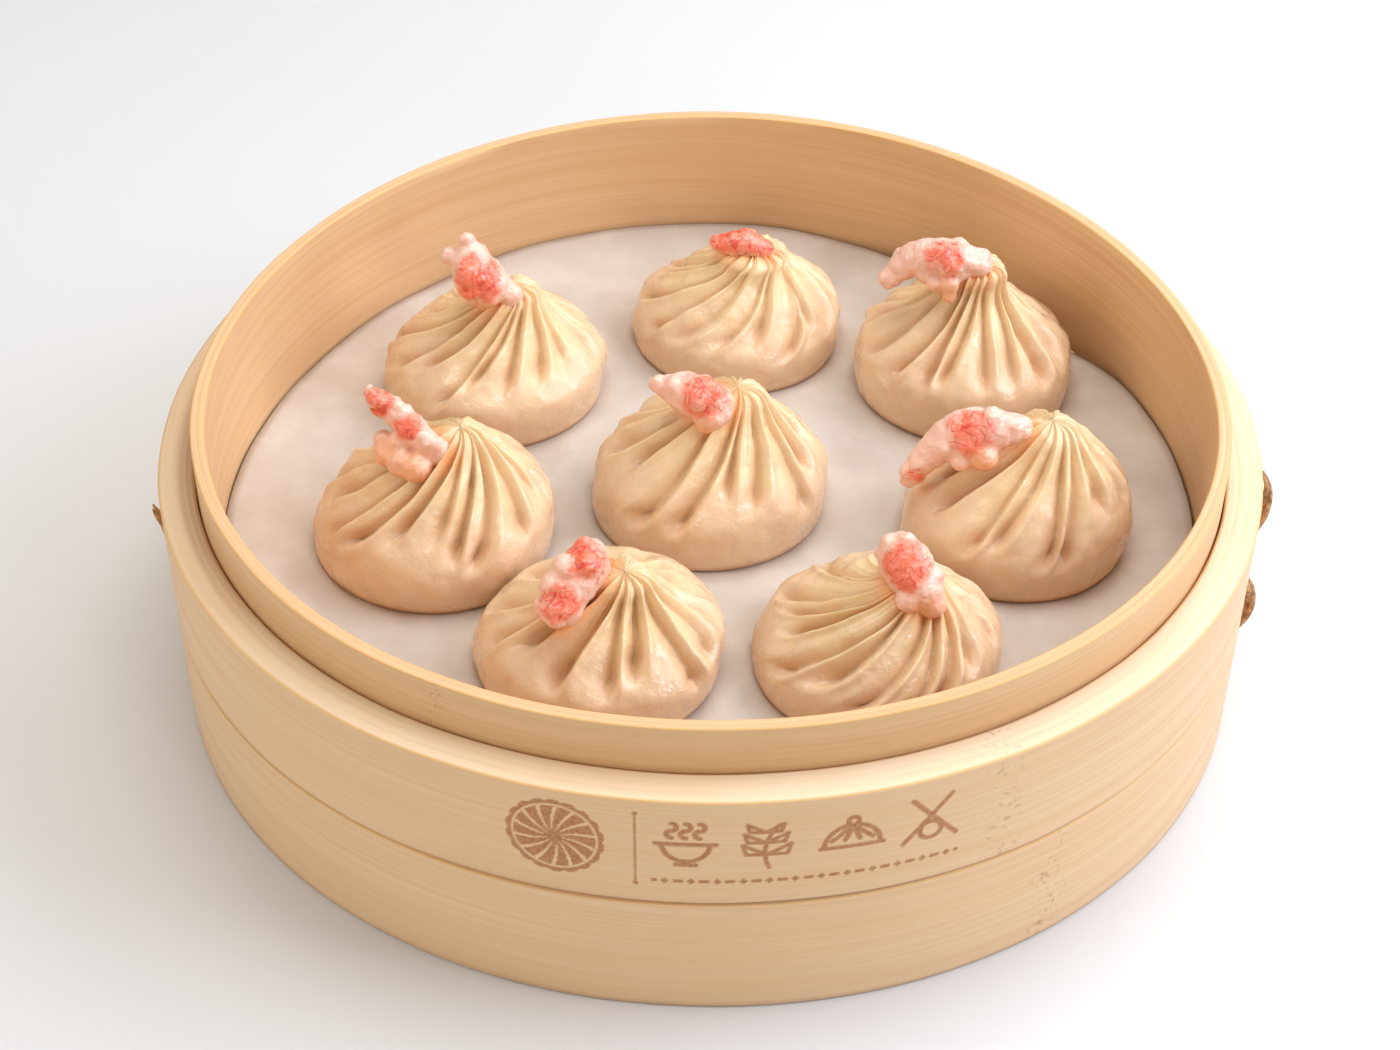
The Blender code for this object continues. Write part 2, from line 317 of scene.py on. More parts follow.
class NodeDesk:
    """Short ways to place and join nodes in one tree."""

    def __init__(self, tree: bpy.types.NodeTree) -> None:
        """Keep the tree."""
        self.tree = tree

    def add(self, kind: str, inputs: Optional[dict] = None,
            **settings: object) -> bpy.types.Node:
        """Place a node.

        Args:
            kind: The node's type name.
            inputs: Values or sockets for its inputs, by name or number.
            settings: Properties of the node.

        Returns:
            The node.
        """
        node = self.tree.nodes.new(kind)
        for key, value in settings.items():
            setattr(node, key, value)
        self.fill(node, inputs or {})
        return node

    def fill(self, node: bpy.types.Node, inputs: dict) -> None:
        """Feed several inputs of a node, by name or number.

        Args:
            node: The node.
            inputs: Values or sockets, by the input's name or number.
        """
        for key, value in inputs.items():
            self.feed(node.inputs[key], value)

    def feed(self, socket: bpy.types.NodeSocket, value: object) -> None:
        """Join a socket to an input, or set the input's own value.

        Args:
            socket: The input.
            value: A socket, a number or a colour.
        """
        if isinstance(value, bpy.types.NodeSocket):
            self.tree.links.new(value, socket)
        elif isinstance(value, tuple) and len(value) == 3 \
                and socket.type == "RGBA":
            socket.default_value = (*value, 1.0)
        else:
            socket.default_value = value

    def math(self, operation: str, a: object, b: object = 0.0,
             c: object = 0.0) -> bpy.types.NodeSocket:
        """Result of a Math node.

        Args:
            operation: The operation's name.
            a: The first number or socket.
            b: The second.
            c: The third.

        Returns:
            The node's output.
        """
        node = self.add("ShaderNodeMath", {0: a, 1: b, 2: c},
                        operation=operation)
        return node.outputs[0]

    def value(self, name: str) -> bpy.types.NodeSocket:
        """The factor stored under a name on the piece's points.

        Args:
            name: The stored value's name.

        Returns:
            The node's output.
        """
        node = self.add("ShaderNodeAttribute", attribute_name=name,
                        attribute_type="GEOMETRY")
        return node.outputs["Fac"]

    def place(self) -> bpy.types.NodeSocket:
        """Object coordinates."""
        return self.add("ShaderNodeTexCoord").outputs["Object"]

    def noise(self, vector: object, scale: float, detail: float = 2.0,
              rough: float = 0.5, warp: float = 0.0) -> bpy.types.NodeSocket:
        """The factor of a Noise texture.

        Args:
            vector: Where the texture is read.
            scale: Lumps in a metre.
            detail: Octaves of finer noise.
            rough: How strong the finer noise is.
            warp: How far the noise is bent.

        Returns:
            The texture's factor.
        """
        node = self.add("ShaderNodeTexNoise",
                        {"Vector": vector, "Scale": scale, "Detail": detail,
                         "Roughness": rough, "Distortion": warp})
        return node.outputs["Fac"]

    def ramp(self, value: object, low: float, high: float,
             out_low: float = 0.0, out_high: float = 1.0
             ) -> bpy.types.NodeSocket:
        """Smooth ramp of a value between two bounds.

        Args:
            value: The value.
            low: The lower bound.
            high: The upper bound.
            out_low: Result at the lower bound.
            out_high: Result at the upper bound.

        Returns:
            The node's output.
        """
        node = self.add("ShaderNodeMapRange",
                        {"Value": value, "From Min": low, "From Max": high,
                         "To Min": out_low, "To Max": out_high},
                        interpolation_type="SMOOTHSTEP")
        return node.outputs["Result"]

    def mix(self, share: object, a: object, b: object,
            blend: str = "MIX") -> bpy.types.NodeSocket:
        """Mix two colours by a share.

        Args:
            share: How much of the second colour there is.
            a: The first colour.
            b: The second colour.
            blend: The way they blend.

        Returns:
            The mixed colour.
        """
        node = self.add("ShaderNodeMix", data_type="RGBA", blend_type=blend)
        self.feed(node.inputs[0], share)
        self.feed(node.inputs[6], a)
        self.feed(node.inputs[7], b)
        return node.outputs[2]

    def tinted(self, colour: object, name: str, most: float,
               tint: object) -> bpy.types.NodeSocket:
        """Mix a tint into a colour as far as a stored factor says.

        Args:
            colour: The colour under the tint.
            name: The stored factor's name.
            most: Share of the tint where the factor is 1.
            tint: The tint.

        Returns:
            The mixed colour.
        """
        share = self.math("MULTIPLY", self.value(name), most)
        return self.mix(share, colour, tint)

    def bump(self, height: object, distance: float) -> bpy.types.NodeSocket:
        """Normal of a Bump node on a height, in metres.

        Args:
            height: The height's socket.
            distance: Height that 1 stands for, in metres.

        Returns:
            The normal.
        """
        node = self.add("ShaderNodeBump",
                        {"Height": height, "Distance": distance})
        return node.outputs["Normal"]


def new_group(name: str, inputs: Sequence[tuple[str, str, object]],
              outputs: Sequence[tuple[str, str]]
              ) -> tuple[bpy.types.NodeTree, NodeDesk, bpy.types.Node,
                         bpy.types.Node]:
    """Start a shader node group.

    Args:
        name: The group's name.
        inputs: Name, socket type and first value of each input.
        outputs: Name and socket type of each output.

    Returns:
        The tree, its desk, the input node and the output node.
    """
    tree = bpy.data.node_groups.new(name, "ShaderNodeTree")
    for label, kind, start in inputs:
        socket = tree.interface.new_socket(name=label, in_out="INPUT",
                                           socket_type=kind)
        socket.default_value = start
    for label, kind in outputs:
        tree.interface.new_socket(name=label, in_out="OUTPUT",
                                  socket_type=kind)
    desk = NodeDesk(tree)
    return tree, desk, desk.add("NodeGroupInput"), desk.add("NodeGroupOutput")


def grain_group() -> bpy.types.NodeTree:
    """Bamboo grain: streaks that follow a bent or straight strip.

    Returns:
        A group that takes the distance across the strip and gives streaks,
        broad tone and the specks of a stem joint.
    """
    tree, desk, start, end = new_group(
        "bamboo_grain",
        (("Across", "NodeSocketFloat", 0.0), ("Fine", "NodeSocketFloat", 900.0),
         ("Coarse", "NodeSocketFloat", 160.0), ("Along", "NodeSocketFloat", 9.0),
         ("Joint", "NodeSocketFloat", 0.0)),
        (("Streak", "NodeSocketFloat"), ("Tone", "NodeSocketFloat"),
         ("Specks", "NodeSocketFloat")))
    apart = desk.add("ShaderNodeSeparateXYZ", {0: desk.place()})
    x = desk.math("MULTIPLY", apart.outputs[0], start.outputs["Along"])
    y = desk.math("MULTIPLY", apart.outputs[1], start.outputs["Along"])
    layers = []
    for label, detail in (("Fine", 3.0), ("Coarse", 4.0)):
        across = desk.math("MULTIPLY", start.outputs["Across"],
                           start.outputs[label])
        vector = desk.add("ShaderNodeCombineXYZ", {0: x, 1: y, 2: across})
        layers.append(desk.noise(vector.outputs[0], 1.0, detail, 0.6))
    streak = desk.math("ADD", desk.math("MULTIPLY", layers[0], 0.55),
                       desk.math("MULTIPLY", layers[1], 0.45))
    tone = desk.noise(desk.place(), 14.0, 2.0, 0.5)
    dots = desk.noise(desk.place(), 900.0, 2.0, 0.6)
    specks = desk.math("MULTIPLY", desk.ramp(dots, 0.55, 0.68),
                       start.outputs["Joint"])
    desk.fill(end, {"Streak": streak, "Tone": tone, "Specks": specks})
    return tree


def mottle_group() -> bpy.types.NodeTree:
    """Soft clouds and fine grit, for food and paper.

    Returns:
        A group that takes two scales and gives clouds and grit.
    """
    tree, desk, start, end = new_group(
        "soft_mottle",
        (("Cloud Scale", "NodeSocketFloat", 90.0),
         ("Grit Scale", "NodeSocketFloat", 1500.0)),
        (("Clouds", "NodeSocketFloat"), ("Grit", "NodeSocketFloat")))
    place = desk.place()
    for label, scale in (("Clouds", "Cloud Scale"), ("Grit", "Grit Scale")):
        node = desk.add("ShaderNodeTexNoise",
                        {"Vector": place, "Scale": start.outputs[scale],
                         "Detail": 3.0, "Roughness": 0.55})
        desk.feed(end.inputs[label], node.outputs["Fac"])
    return tree


@dataclass(frozen=True)
class Finish:
    """What every finish has: a name, and groups it shares with the others."""

    name: str

    def start(self) -> tuple[bpy.types.Material, NodeDesk, bpy.types.Node]:
        """Make an empty material.

        Returns:
            The material, its desk and its Principled shader.
        """
        made = bpy.data.materials.new(self.name)
        made.use_nodes = True
        desk = NodeDesk(made.node_tree)
        shader = made.node_tree.nodes["Principled BSDF"]
        return made, desk, shader

    @staticmethod
    def group(desk: NodeDesk, name: str, **inputs: object) -> bpy.types.Node:
        """Place a shared group, its inputs named with _ for spaces.

        Args:
            desk: The material's desk.
            name: The group's name.
            inputs: Values of the group's inputs.

        Returns:
            The group's node.
        """
        node = desk.add("ShaderNodeGroup",
                        node_tree=bpy.data.node_groups[name])
        desk.fill(node, {key.replace("_", " "): value
                         for key, value in inputs.items()})
        return node


@dataclass(frozen=True)
class BambooFinish(Finish):
    """Bare bent bamboo strip: grain along the strip, joints, edge tone, groove
    lines and painted shade.
    """

    pale: Colour = srgb(240, 205, 164)
    deep: Colour = srgb(226, 184, 138)
    edge: Colour = srgb(233, 178, 102)
    cut: Colour = srgb(246, 224, 192)
    # colour of the joint specks, the groove lines and the painted shade
    stain: Colour = srgb(146, 92, 50)
    burn: Colour = srgb(176, 110, 64)
    fine: float = 2600.0
    coarse: float = 420.0
    along: float = 9.0
    roughness: float = 0.5
    relief: float = 0.00006

    def build(self) -> bpy.types.Material:
        """Make the material.

        Returns:
            The material.
        """
        made, desk, shader = self.start()
        grain = self.group(desk, "bamboo_grain", Across=desk.value("across"),
                           Fine=self.fine, Coarse=self.coarse,
                           Along=self.along, Joint=desk.value("joint"))
        streak = grain.outputs["Streak"]
        colour = desk.mix(desk.ramp(streak, 0.28, 0.72), self.deep, self.pale)
        tone = desk.ramp(grain.outputs["Tone"], 0.35, 0.65, 0.0, 0.22)
        colour = desk.mix(tone, colour, self.deep)
        bare = desk.ramp(grain.outputs["Tone"], 0.3, 0.7, 0.3, 0.7)
        colour = desk.mix(desk.math("MULTIPLY", desk.value("cap"), bare),
                          colour, self.cut)
        colour = desk.tinted(colour, "edge", 0.7, self.edge)
        # groove lines and painted shade, from the stored stain
        dark = desk.math("MULTIPLY", desk.value("stain"),
                         desk.ramp(streak, 0.25, 0.75, 1.0, 0.55))
        colour = desk.mix(dark, colour, self.stain)
        colour = desk.mix(desk.math("MULTIPLY", grain.outputs["Specks"], 0.42),
                          colour, self.stain)
        print_tone = desk.ramp(desk.noise(desk.place(), 1800.0, 2.0), 0.3,
                               0.7, 0.72, 0.98)
        colour = desk.mix(desk.math("MULTIPLY", desk.value("burn"),
                                    print_tone), colour, self.burn)
        height = desk.math("SUBTRACT", streak,
                           desk.math("MULTIPLY", desk.value("burn"), 0.3))
        desk.fill(shader, {
            "Base Color": colour,
            "Roughness": desk.ramp(streak, 0.3, 0.7, self.roughness + 0.1,
                                   self.roughness - 0.08),
            "Normal": desk.bump(height, self.relief),
            "Specular IOR Level": 0.4})
        return made


@dataclass(frozen=True)
class CaneFinish(Finish):
    """Dry rattan cane: fibres along the strand, mottled pale and deep."""

    pale: Colour = srgb(216, 168, 116)
    deep: Colour = srgb(138, 92, 54)
    relief: float = 0.0002

    def build(self) -> bpy.types.Material:
        """Make the material.

        Returns:
            The material.
        """
        made, desk, shader = self.start()
        fibre = desk.noise(desk.place(), 700.0, 4.0, 0.65, 0.6)
        colour = desk.mix(desk.ramp(fibre, 0.3, 0.7), self.deep, self.pale)
        desk.fill(shader, {
            "Base Color": colour,
            "Roughness": desk.ramp(fibre, 0.3, 0.7, 0.7, 0.45),
            "Normal": desk.bump(fibre, self.relief)})
        return made


@dataclass(frozen=True)
class PaperFinish(Finish):
    """Baking paper: matt, faintly mottled, a little darker and warmer in a ring
    around each dumpling's foot.
    """

    pale: Colour = srgb(210, 197, 184)
    deep: Colour = srgb(199, 184, 169)
    # colour of the darker, warmer ring around each dumpling's foot
    foot_ring: Colour = srgb(198, 175, 156)
    relief: float = 0.00012

    def build(self) -> bpy.types.Material:
        """Make the material.

        Returns:
            The material.
        """
        made, desk, shader = self.start()
        spots = self.group(desk, "soft_mottle", Cloud_Scale=60.0,
                           Grit_Scale=1400.0)
        fibre = self.group(desk, "soft_mottle", Cloud_Scale=320.0,
                           Grit_Scale=2600.0)
        colour = desk.mix(desk.ramp(spots.outputs["Clouds"], 0.35, 0.65),
                          self.pale, self.deep)
        colour = desk.mix(desk.ramp(fibre.outputs["Clouds"], 0.4, 0.7, 0.0,
                                    0.35), colour, self.deep)
        colour = desk.tinted(colour, "foot_ring", 0.6, self.foot_ring)
        height = desk.math("ADD", fibre.outputs["Clouds"],
                           desk.math("MULTIPLY", spots.outputs["Grit"], 0.5))
        desk.fill(shader, {
            "Base Color": colour,
            "Roughness": desk.ramp(spots.outputs["Clouds"], 0.3, 0.7, 0.62,
                                   0.5),
            "Normal": desk.bump(height, self.relief),
            "Specular IOR Level": 0.3})
        return made


@dataclass(frozen=True)
class DoughFinish(Finish):
    """Steamed dough: cream at the crown, tan over the filling, wet, with painted
    shade in the creases and at the foot.
    """

    crown: Colour = srgb(232, 202, 155)
    belly: Colour = srgb(229, 193, 154)
    # painted shade in the creases between the pleats
    fold: Colour = srgb(205, 148, 98)
    orange: Colour = srgb(250, 172, 110)
    # painted shade where the dough meets the paper
    foot: Colour = srgb(186, 116, 74)
    relief: float = 0.00022
    wet_relief: float = 0.0007     # of the wet skin, which sparkles

    def build(self) -> bpy.types.Material:
        """Make the material.

        Returns:
            The material.
        """
        made, desk, shader = self.start()
        spots = self.group(desk, "soft_mottle", Cloud_Scale=110.0,
                           Grit_Scale=1300.0)
        clouds, grit = spots.outputs["Clouds"], spots.outputs["Grit"]
        tone = desk.math("ADD", desk.value("tone"),
                         desk.ramp(clouds, 0.3, 0.7, -0.16, 0.16))
        colour = desk.mix(desk.ramp(tone, 0.05, 0.9), self.belly, self.crown)
        # painted shade, darker in the creases
        colour = desk.tinted(colour, "fold", 0.42, self.fold)
        # painted shade at the foot, where it meets the paper
        colour = desk.tinted(colour, "foot", 0.55, self.foot)
        colour = desk.mix(desk.value("stain"), colour, self.orange)
        wet = self.group(desk, "soft_mottle", Cloud_Scale=240.0,
                         Grit_Scale=900.0)
        wrinkle = desk.math("ADD", desk.math("MULTIPLY", grit, 0.3),
                            wet.outputs["Clouds"])
        height = desk.math("ADD", wrinkle, desk.math(
            "MULTIPLY", desk.noise(desk.place(), 620.0, 2.0, 0.6, 0.4), 0.5))
        desk.fill(shader, {
            "Base Color": colour,
            "Roughness": desk.ramp(clouds, 0.3, 0.7, 0.48, 0.34),
            "Coat Weight": desk.ramp(wet.outputs["Clouds"], 0.42, 0.60,
                                     0.08, 1.0),
            "Normal": desk.bump(height, self.relief),
            "Coat Normal": desk.bump(height, self.wet_relief),
            "Subsurface Weight": 0.2,
            "Subsurface Radius": (1.0, 0.55, 0.3),
            "Subsurface Scale": 0.002,
            "Coat Roughness": 0.07,
            "Specular IOR Level": 0.4})
        return made


@dataclass(frozen=True)
class CrabFinish(Finish):
    """Crab meat: pale flesh, coral blush and fine red veins, moist."""

    flesh: Colour = srgb(248, 200, 178)
    blush: Colour = srgb(246, 130, 98)
    vein: Colour = srgb(218, 58, 44)
    orange: Colour = srgb(242, 168, 118)
    relief: float = 0.00035

    def build(self) -> bpy.types.Material:
        """Make the material.

        Returns:
            The material.
        """
        made, desk, shader = self.start()
        place = desk.place()
        blush = desk.value("blush")
        spots = self.group(desk, "soft_mottle", Cloud_Scale=260.0,
                           Grit_Scale=1600.0)
        soft = desk.ramp(desk.math("ADD", blush,
                                   desk.ramp(spots.outputs["Clouds"], 0.3,
                                             0.7, -0.3, 0.3)), 0.3, 1.0)
        colour = desk.mix(soft, self.flesh, self.blush)
        loops = desk.noise(place, 330.0, 0.5, 0.4, 0.9)
        off = desk.math("ABSOLUTE", desk.math("SUBTRACT", loops, 0.5))
        line = desk.ramp(off, 0.012, 0.05, 1.0, 0.0)
        veins = desk.math("MULTIPLY", line, desk.ramp(blush, 0.4, 0.8))
        veins = desk.math("MAXIMUM", veins, desk.math(
            "MULTIPLY", desk.math("MULTIPLY", desk.value("hollow"), 0.3),
            desk.ramp(blush, 0.3, 0.8)))
        colour = desk.mix(desk.math("MULTIPLY", veins, 0.75), colour,
                          self.vein)
        colour = desk.mix(desk.value("under"), colour, self.orange)
        height = desk.math("ADD", spots.outputs["Clouds"],
                           desk.math("MULTIPLY", spots.outputs["Grit"], 0.4))
        desk.fill(shader, {
            "Base Color": colour,
            "Roughness": desk.ramp(spots.outputs["Clouds"], 0.3, 0.7, 0.5,
                                   0.32),
            "Normal": desk.bump(height, self.relief),
            "Subsurface Weight": 0.35,
            "Subsurface Radius": (1.0, 0.4, 0.3),
            "Subsurface Scale": 0.003,
            "Coat Weight": 0.35,
            "Coat Roughness": 0.15})
        return made


@dataclass(frozen=True)
class TableFinish(Finish):
    """Plain pale table."""

    tint: Colour = srgb(222, 220, 217)

    def build(self) -> bpy.types.Material:
        """Make the material.

        Returns:
            The material.
        """
        made, desk, shader = self.start()
        desk.fill(shader, {"Base Color": self.tint, "Roughness": 0.8})
        return made


# -------------------------------------------------------------------- basket


BORDER_PITCH = 4.7 * MM        # from one dash of the border to the next
INK_BLUR = 0.12 * MM           # how far a burnt edge fades
LINE_HALF = 0.085              # half a line's width, in shares of a mark
SPRIG_LINE_HALF = 0.07
MARK_ROOM = 1.3                # half the square a mark may fill, likewise


class Mark(enum.Enum):
    """The plain burnt-in shapes on the front of the upper band."""

    ROUNDEL = "round of pleats"
    DIVIDER = "upright line with dots"
    BOWL = "steaming bowl"
    SPRIG = "leaf sprig"
    DUMPLING = "pleated dumpling"
    STICKS = "crossed sticks"
    BORDER = "row of dashes"


@dataclass(frozen=True)
class BurntMark:
    """One burnt-in shape, placed along and across the band."""

    mark: Mark
    along: float               # metres from the front, along the band
    up: float                  # metres above the table
    size: float                # half its width in metres

    @staticmethod
    def stroke(u: np.ndarray, v: np.ndarray, x0: float, y0: float,
               x1: float, y1: float) -> np.ndarray:
        """Distance to a straight stroke.

        Args:
            u: Places across the mark.
            v: Places up the mark.
            x0: One end, across.
            y0: One end, up.
            x1: The other end, across.
            y1: The other end, up.

        Returns:
            One distance for each place.
        """
        dx, dy = x1 - x0, y1 - y0
        share = np.clip(((u - x0) * dx + (v - y0) * dy)
                        / (dx * dx + dy * dy), 0.0, 1.0)
        return np.hypot(u - x0 - share * dx, v - y0 - share * dy)

    @staticmethod
    def bow(u: np.ndarray, v: np.ndarray, x: float, y: float, radius: float,
            start: float, sweep: float) -> np.ndarray:
        """Distance to an arc from an angle through a sweep, in degrees.

        Args:
            u: Places across the mark.
            v: Places up the mark.
            x: The middle, across.
            y: The middle, up.
            radius: The arc's radius.
            start: Where the arc starts.
            sweep: How far it goes.

        Returns:
            One distance for each place.
        """
        turn = (np.degrees(np.arctan2(v - y, u - x)) - start) % 360.0
        ring = np.abs(np.hypot(u - x, v - y) - radius)
        ends = []
        for at in (start, start + sweep):
            ends.append(np.hypot(u - x - radius * math.cos(math.radians(at)),
                                 v - y - radius * math.sin(math.radians(at))))
        return np.where(turn <= sweep, ring, np.minimum(*ends))

    @staticmethod
    def roundel(u: np.ndarray, v: np.ndarray) -> np.ndarray:
        """Distance to a round of pleats with a ring around it.

        Args:
            u: Places across the mark, in half widths.
            v: Places up the mark, in half widths.

        Returns:
            One distance for each place, below 0 inside the ink.
        """
        reach, turn = np.hypot(u, v), np.arctan2(v, u)
        disc = reach - (0.93 + 0.05 * np.abs(np.sin(9.0 * turn)))
        twist = np.cos(14.0 * turn + 3.2 * reach * math.tau / 4.0)
        cut = np.minimum((0.80 - reach), (twist - 0.72) * 0.25 * reach)
        cut = np.minimum(cut, reach - 0.16)
        inner = np.abs(reach - 0.83) - 0.025
        return np.maximum(np.maximum(disc, cut), -inner)

    @staticmethod
    def divider(u: np.ndarray, v: np.ndarray) -> np.ndarray:
        """Distance to an upright line with a dot at each end.

        Args:
            u: Places across the mark, in half widths.
            v: Places up the mark, in half widths.

        Returns:
            One distance for each place, below 0 inside the ink.
        """
        rod = np.maximum(np.abs(u) - 0.025, np.abs(v) - 1.0)
        dots = np.minimum(np.hypot(u, v - 1.05), np.hypot(u, v + 1.05))
        return np.minimum(rod, dots - 0.06)

    @classmethod
    def bowl(cls, u: np.ndarray, v: np.ndarray) -> np.ndarray:
        """Distance to a bowl with three curls of steam.

        Args:
            u: Places across the mark, in half widths.
            v: Places up the mark, in half widths.

        Returns:
            One distance for each place, below 0 inside the ink.
        """
        parts = [cls.bow(u, v, 0.0, -0.05, 0.72, 180.0, 180.0),
                 cls.stroke(u, v, -0.9, -0.05, 0.9, -0.05),
                 cls.stroke(u, v, -0.3, -0.92, 0.3, -0.92)]
        for x in (-0.42, 0.0, 0.42):
            parts.append(cls.bow(u, v, x, 0.36, 0.15, 90.0, 180.0))
            parts.append(cls.bow(u, v, x, 0.66, 0.15, -90.0, 180.0))
        return np.minimum.reduce(parts) - LINE_HALF

    @classmethod
    def sprig(cls, u: np.ndarray, v: np.ndarray) -> np.ndarray:
        """Distance to a stem with three pairs of leaves.

        Args:
            u: Places across the mark, in half widths.
            v: Places up the mark, in half widths.

        Returns:
            One distance for each place, below 0 inside the ink.
        """
        parts = [cls.bow(u, v, 1.6, -0.4, 1.75, 140.0, 62.0)]
        for y, lean in ((-0.5, 1.0), (0.0, 0.9), (0.45, 0.75)):
            x = -0.12 - 0.05 * y
            for side in (-1.0, 1.0):
                tip = (x + side * 0.72 * lean, y + 0.42 * lean)
                low = (x + side * 0.62 * lean, y + 0.02)
                parts.append(cls.stroke(u, v, x, y, *tip))
                parts.append(cls.stroke(u, v, *tip, *low))
                parts.append(cls.stroke(u, v, x, y, *low))
        return np.minimum.reduce(parts) - SPRIG_LINE_HALF

    @classmethod
    def dumpling(cls, u: np.ndarray, v: np.ndarray) -> np.ndarray:
        """Distance to a pleated dumpling.

        Args:
            u: Places across the mark, in half widths.
            v: Places up the mark, in half widths.

        Returns:
            One distance for each place, below 0 inside the ink.
        """
        parts = [cls.bow(u, v, 0.0, -0.45, 0.85, 0.0, 180.0),
                 cls.stroke(u, v, -0.95, -0.5, 0.95, -0.5),
                 cls.bow(u, v, 0.0, 0.55, 0.16, 0.0, 359.0)]
        for lean in (-0.62, -0.22, 0.22, 0.62):
            parts.append(cls.stroke(u, v, 0.25 * lean, 0.22, lean, -0.2))
        return np.minimum.reduce(parts) - LINE_HALF

    @classmethod
    def sticks(cls, u: np.ndarray, v: np.ndarray) -> np.ndarray:
        """Distance to two crossed sticks over a ring.

        Args:
            u: Places across the mark, in half widths.
            v: Places up the mark, in half widths.

        Returns:
            One distance for each place, below 0 inside the ink.
        """
        parts = [cls.stroke(u, v, -0.85, -0.85, 0.62, 0.9),
                 cls.stroke(u, v, -0.62, 0.9, 0.85, -0.85),
                 cls.bow(u, v, 0.0, -0.45, 0.34, 0.0, 359.0)]
        return np.minimum.reduce(parts) - LINE_HALF

    @staticmethod
    def border(u: np.ndarray, v: np.ndarray) -> np.ndarray:
        """Distance to a row of dashes and diamonds, one pitch long each.

        Args:
            u: Places along the row, in pitches.
            v: Places up the mark, in pitches.

        Returns:
            One distance for each place, below 0 inside the ink.
        """
        cell = (u + 0.5) % 1.0 - 0.5
        dash = np.maximum(np.abs(cell) - 0.2, np.abs(v) - 0.09)
        gem = np.abs(np.abs(cell) - 0.5) + np.abs(v) - 0.17
        return np.minimum(dash, gem)

    def distance(self, u: np.ndarray, v: np.ndarray) -> np.ndarray:
        """Distance to the ink of this mark's own shape.

        Args:
            u: Places across the mark, in half widths.
            v: Places up the mark, in half widths.

        Returns:
            One distance for each place, below 0 inside the ink.
        """
        shapes = {Mark.ROUNDEL: self.roundel, Mark.DIVIDER: self.divider,
                  Mark.BOWL: self.bowl, Mark.SPRIG: self.sprig,
                  Mark.DUMPLING: self.dumpling, Mark.STICKS: self.sticks,
                  Mark.BORDER: self.border}
        return shapes[self.mark](u, v)

    def ink(self, along: np.ndarray, up: np.ndarray) -> np.ndarray:
        """How burnt the wood is at points of the band, 0 to 1.

        Args:
            along: Metres from the front, along the band.
            up: Metres above the table.

        Returns:
            One value for each point.
        """
        row = self.mark is Mark.BORDER
        unit = BORDER_PITCH if row else self.size
        u, v = (along - self.along) / unit, (up - self.up) / unit
        near = np.abs(along - self.along) < self.size if row \
            else np.maximum(np.abs(u), np.abs(v)) < MARK_ROOM
        gap = np.where(near, self.distance(u, v) * unit, 1.0)
        return 1.0 - smoothstep(-INK_BLUR, INK_BLUR, gap)


BURNT_MARKS = (
    BurntMark(Mark.ROUNDEL, -27.2 * MM, 42.8 * MM, 9.4 * MM),
    BurntMark(Mark.DIVIDER, -12.6 * MM, 42.3 * MM, 8.4 * MM),
    BurntMark(Mark.BOWL, -3.6 * MM, 44.4 * MM, 6.0 * MM),
    BurntMark(Mark.SPRIG, 11.4 * MM, 44.3 * MM, 6.0 * MM),
    BurntMark(Mark.DUMPLING, 26.2 * MM, 44.4 * MM, 6.0 * MM),
    BurntMark(Mark.STICKS, 40.8 * MM, 44.4 * MM, 6.0 * MM),
    BurntMark(Mark.BORDER, 18.5 * MM, 34.6 * MM, 28.2 * MM),
)


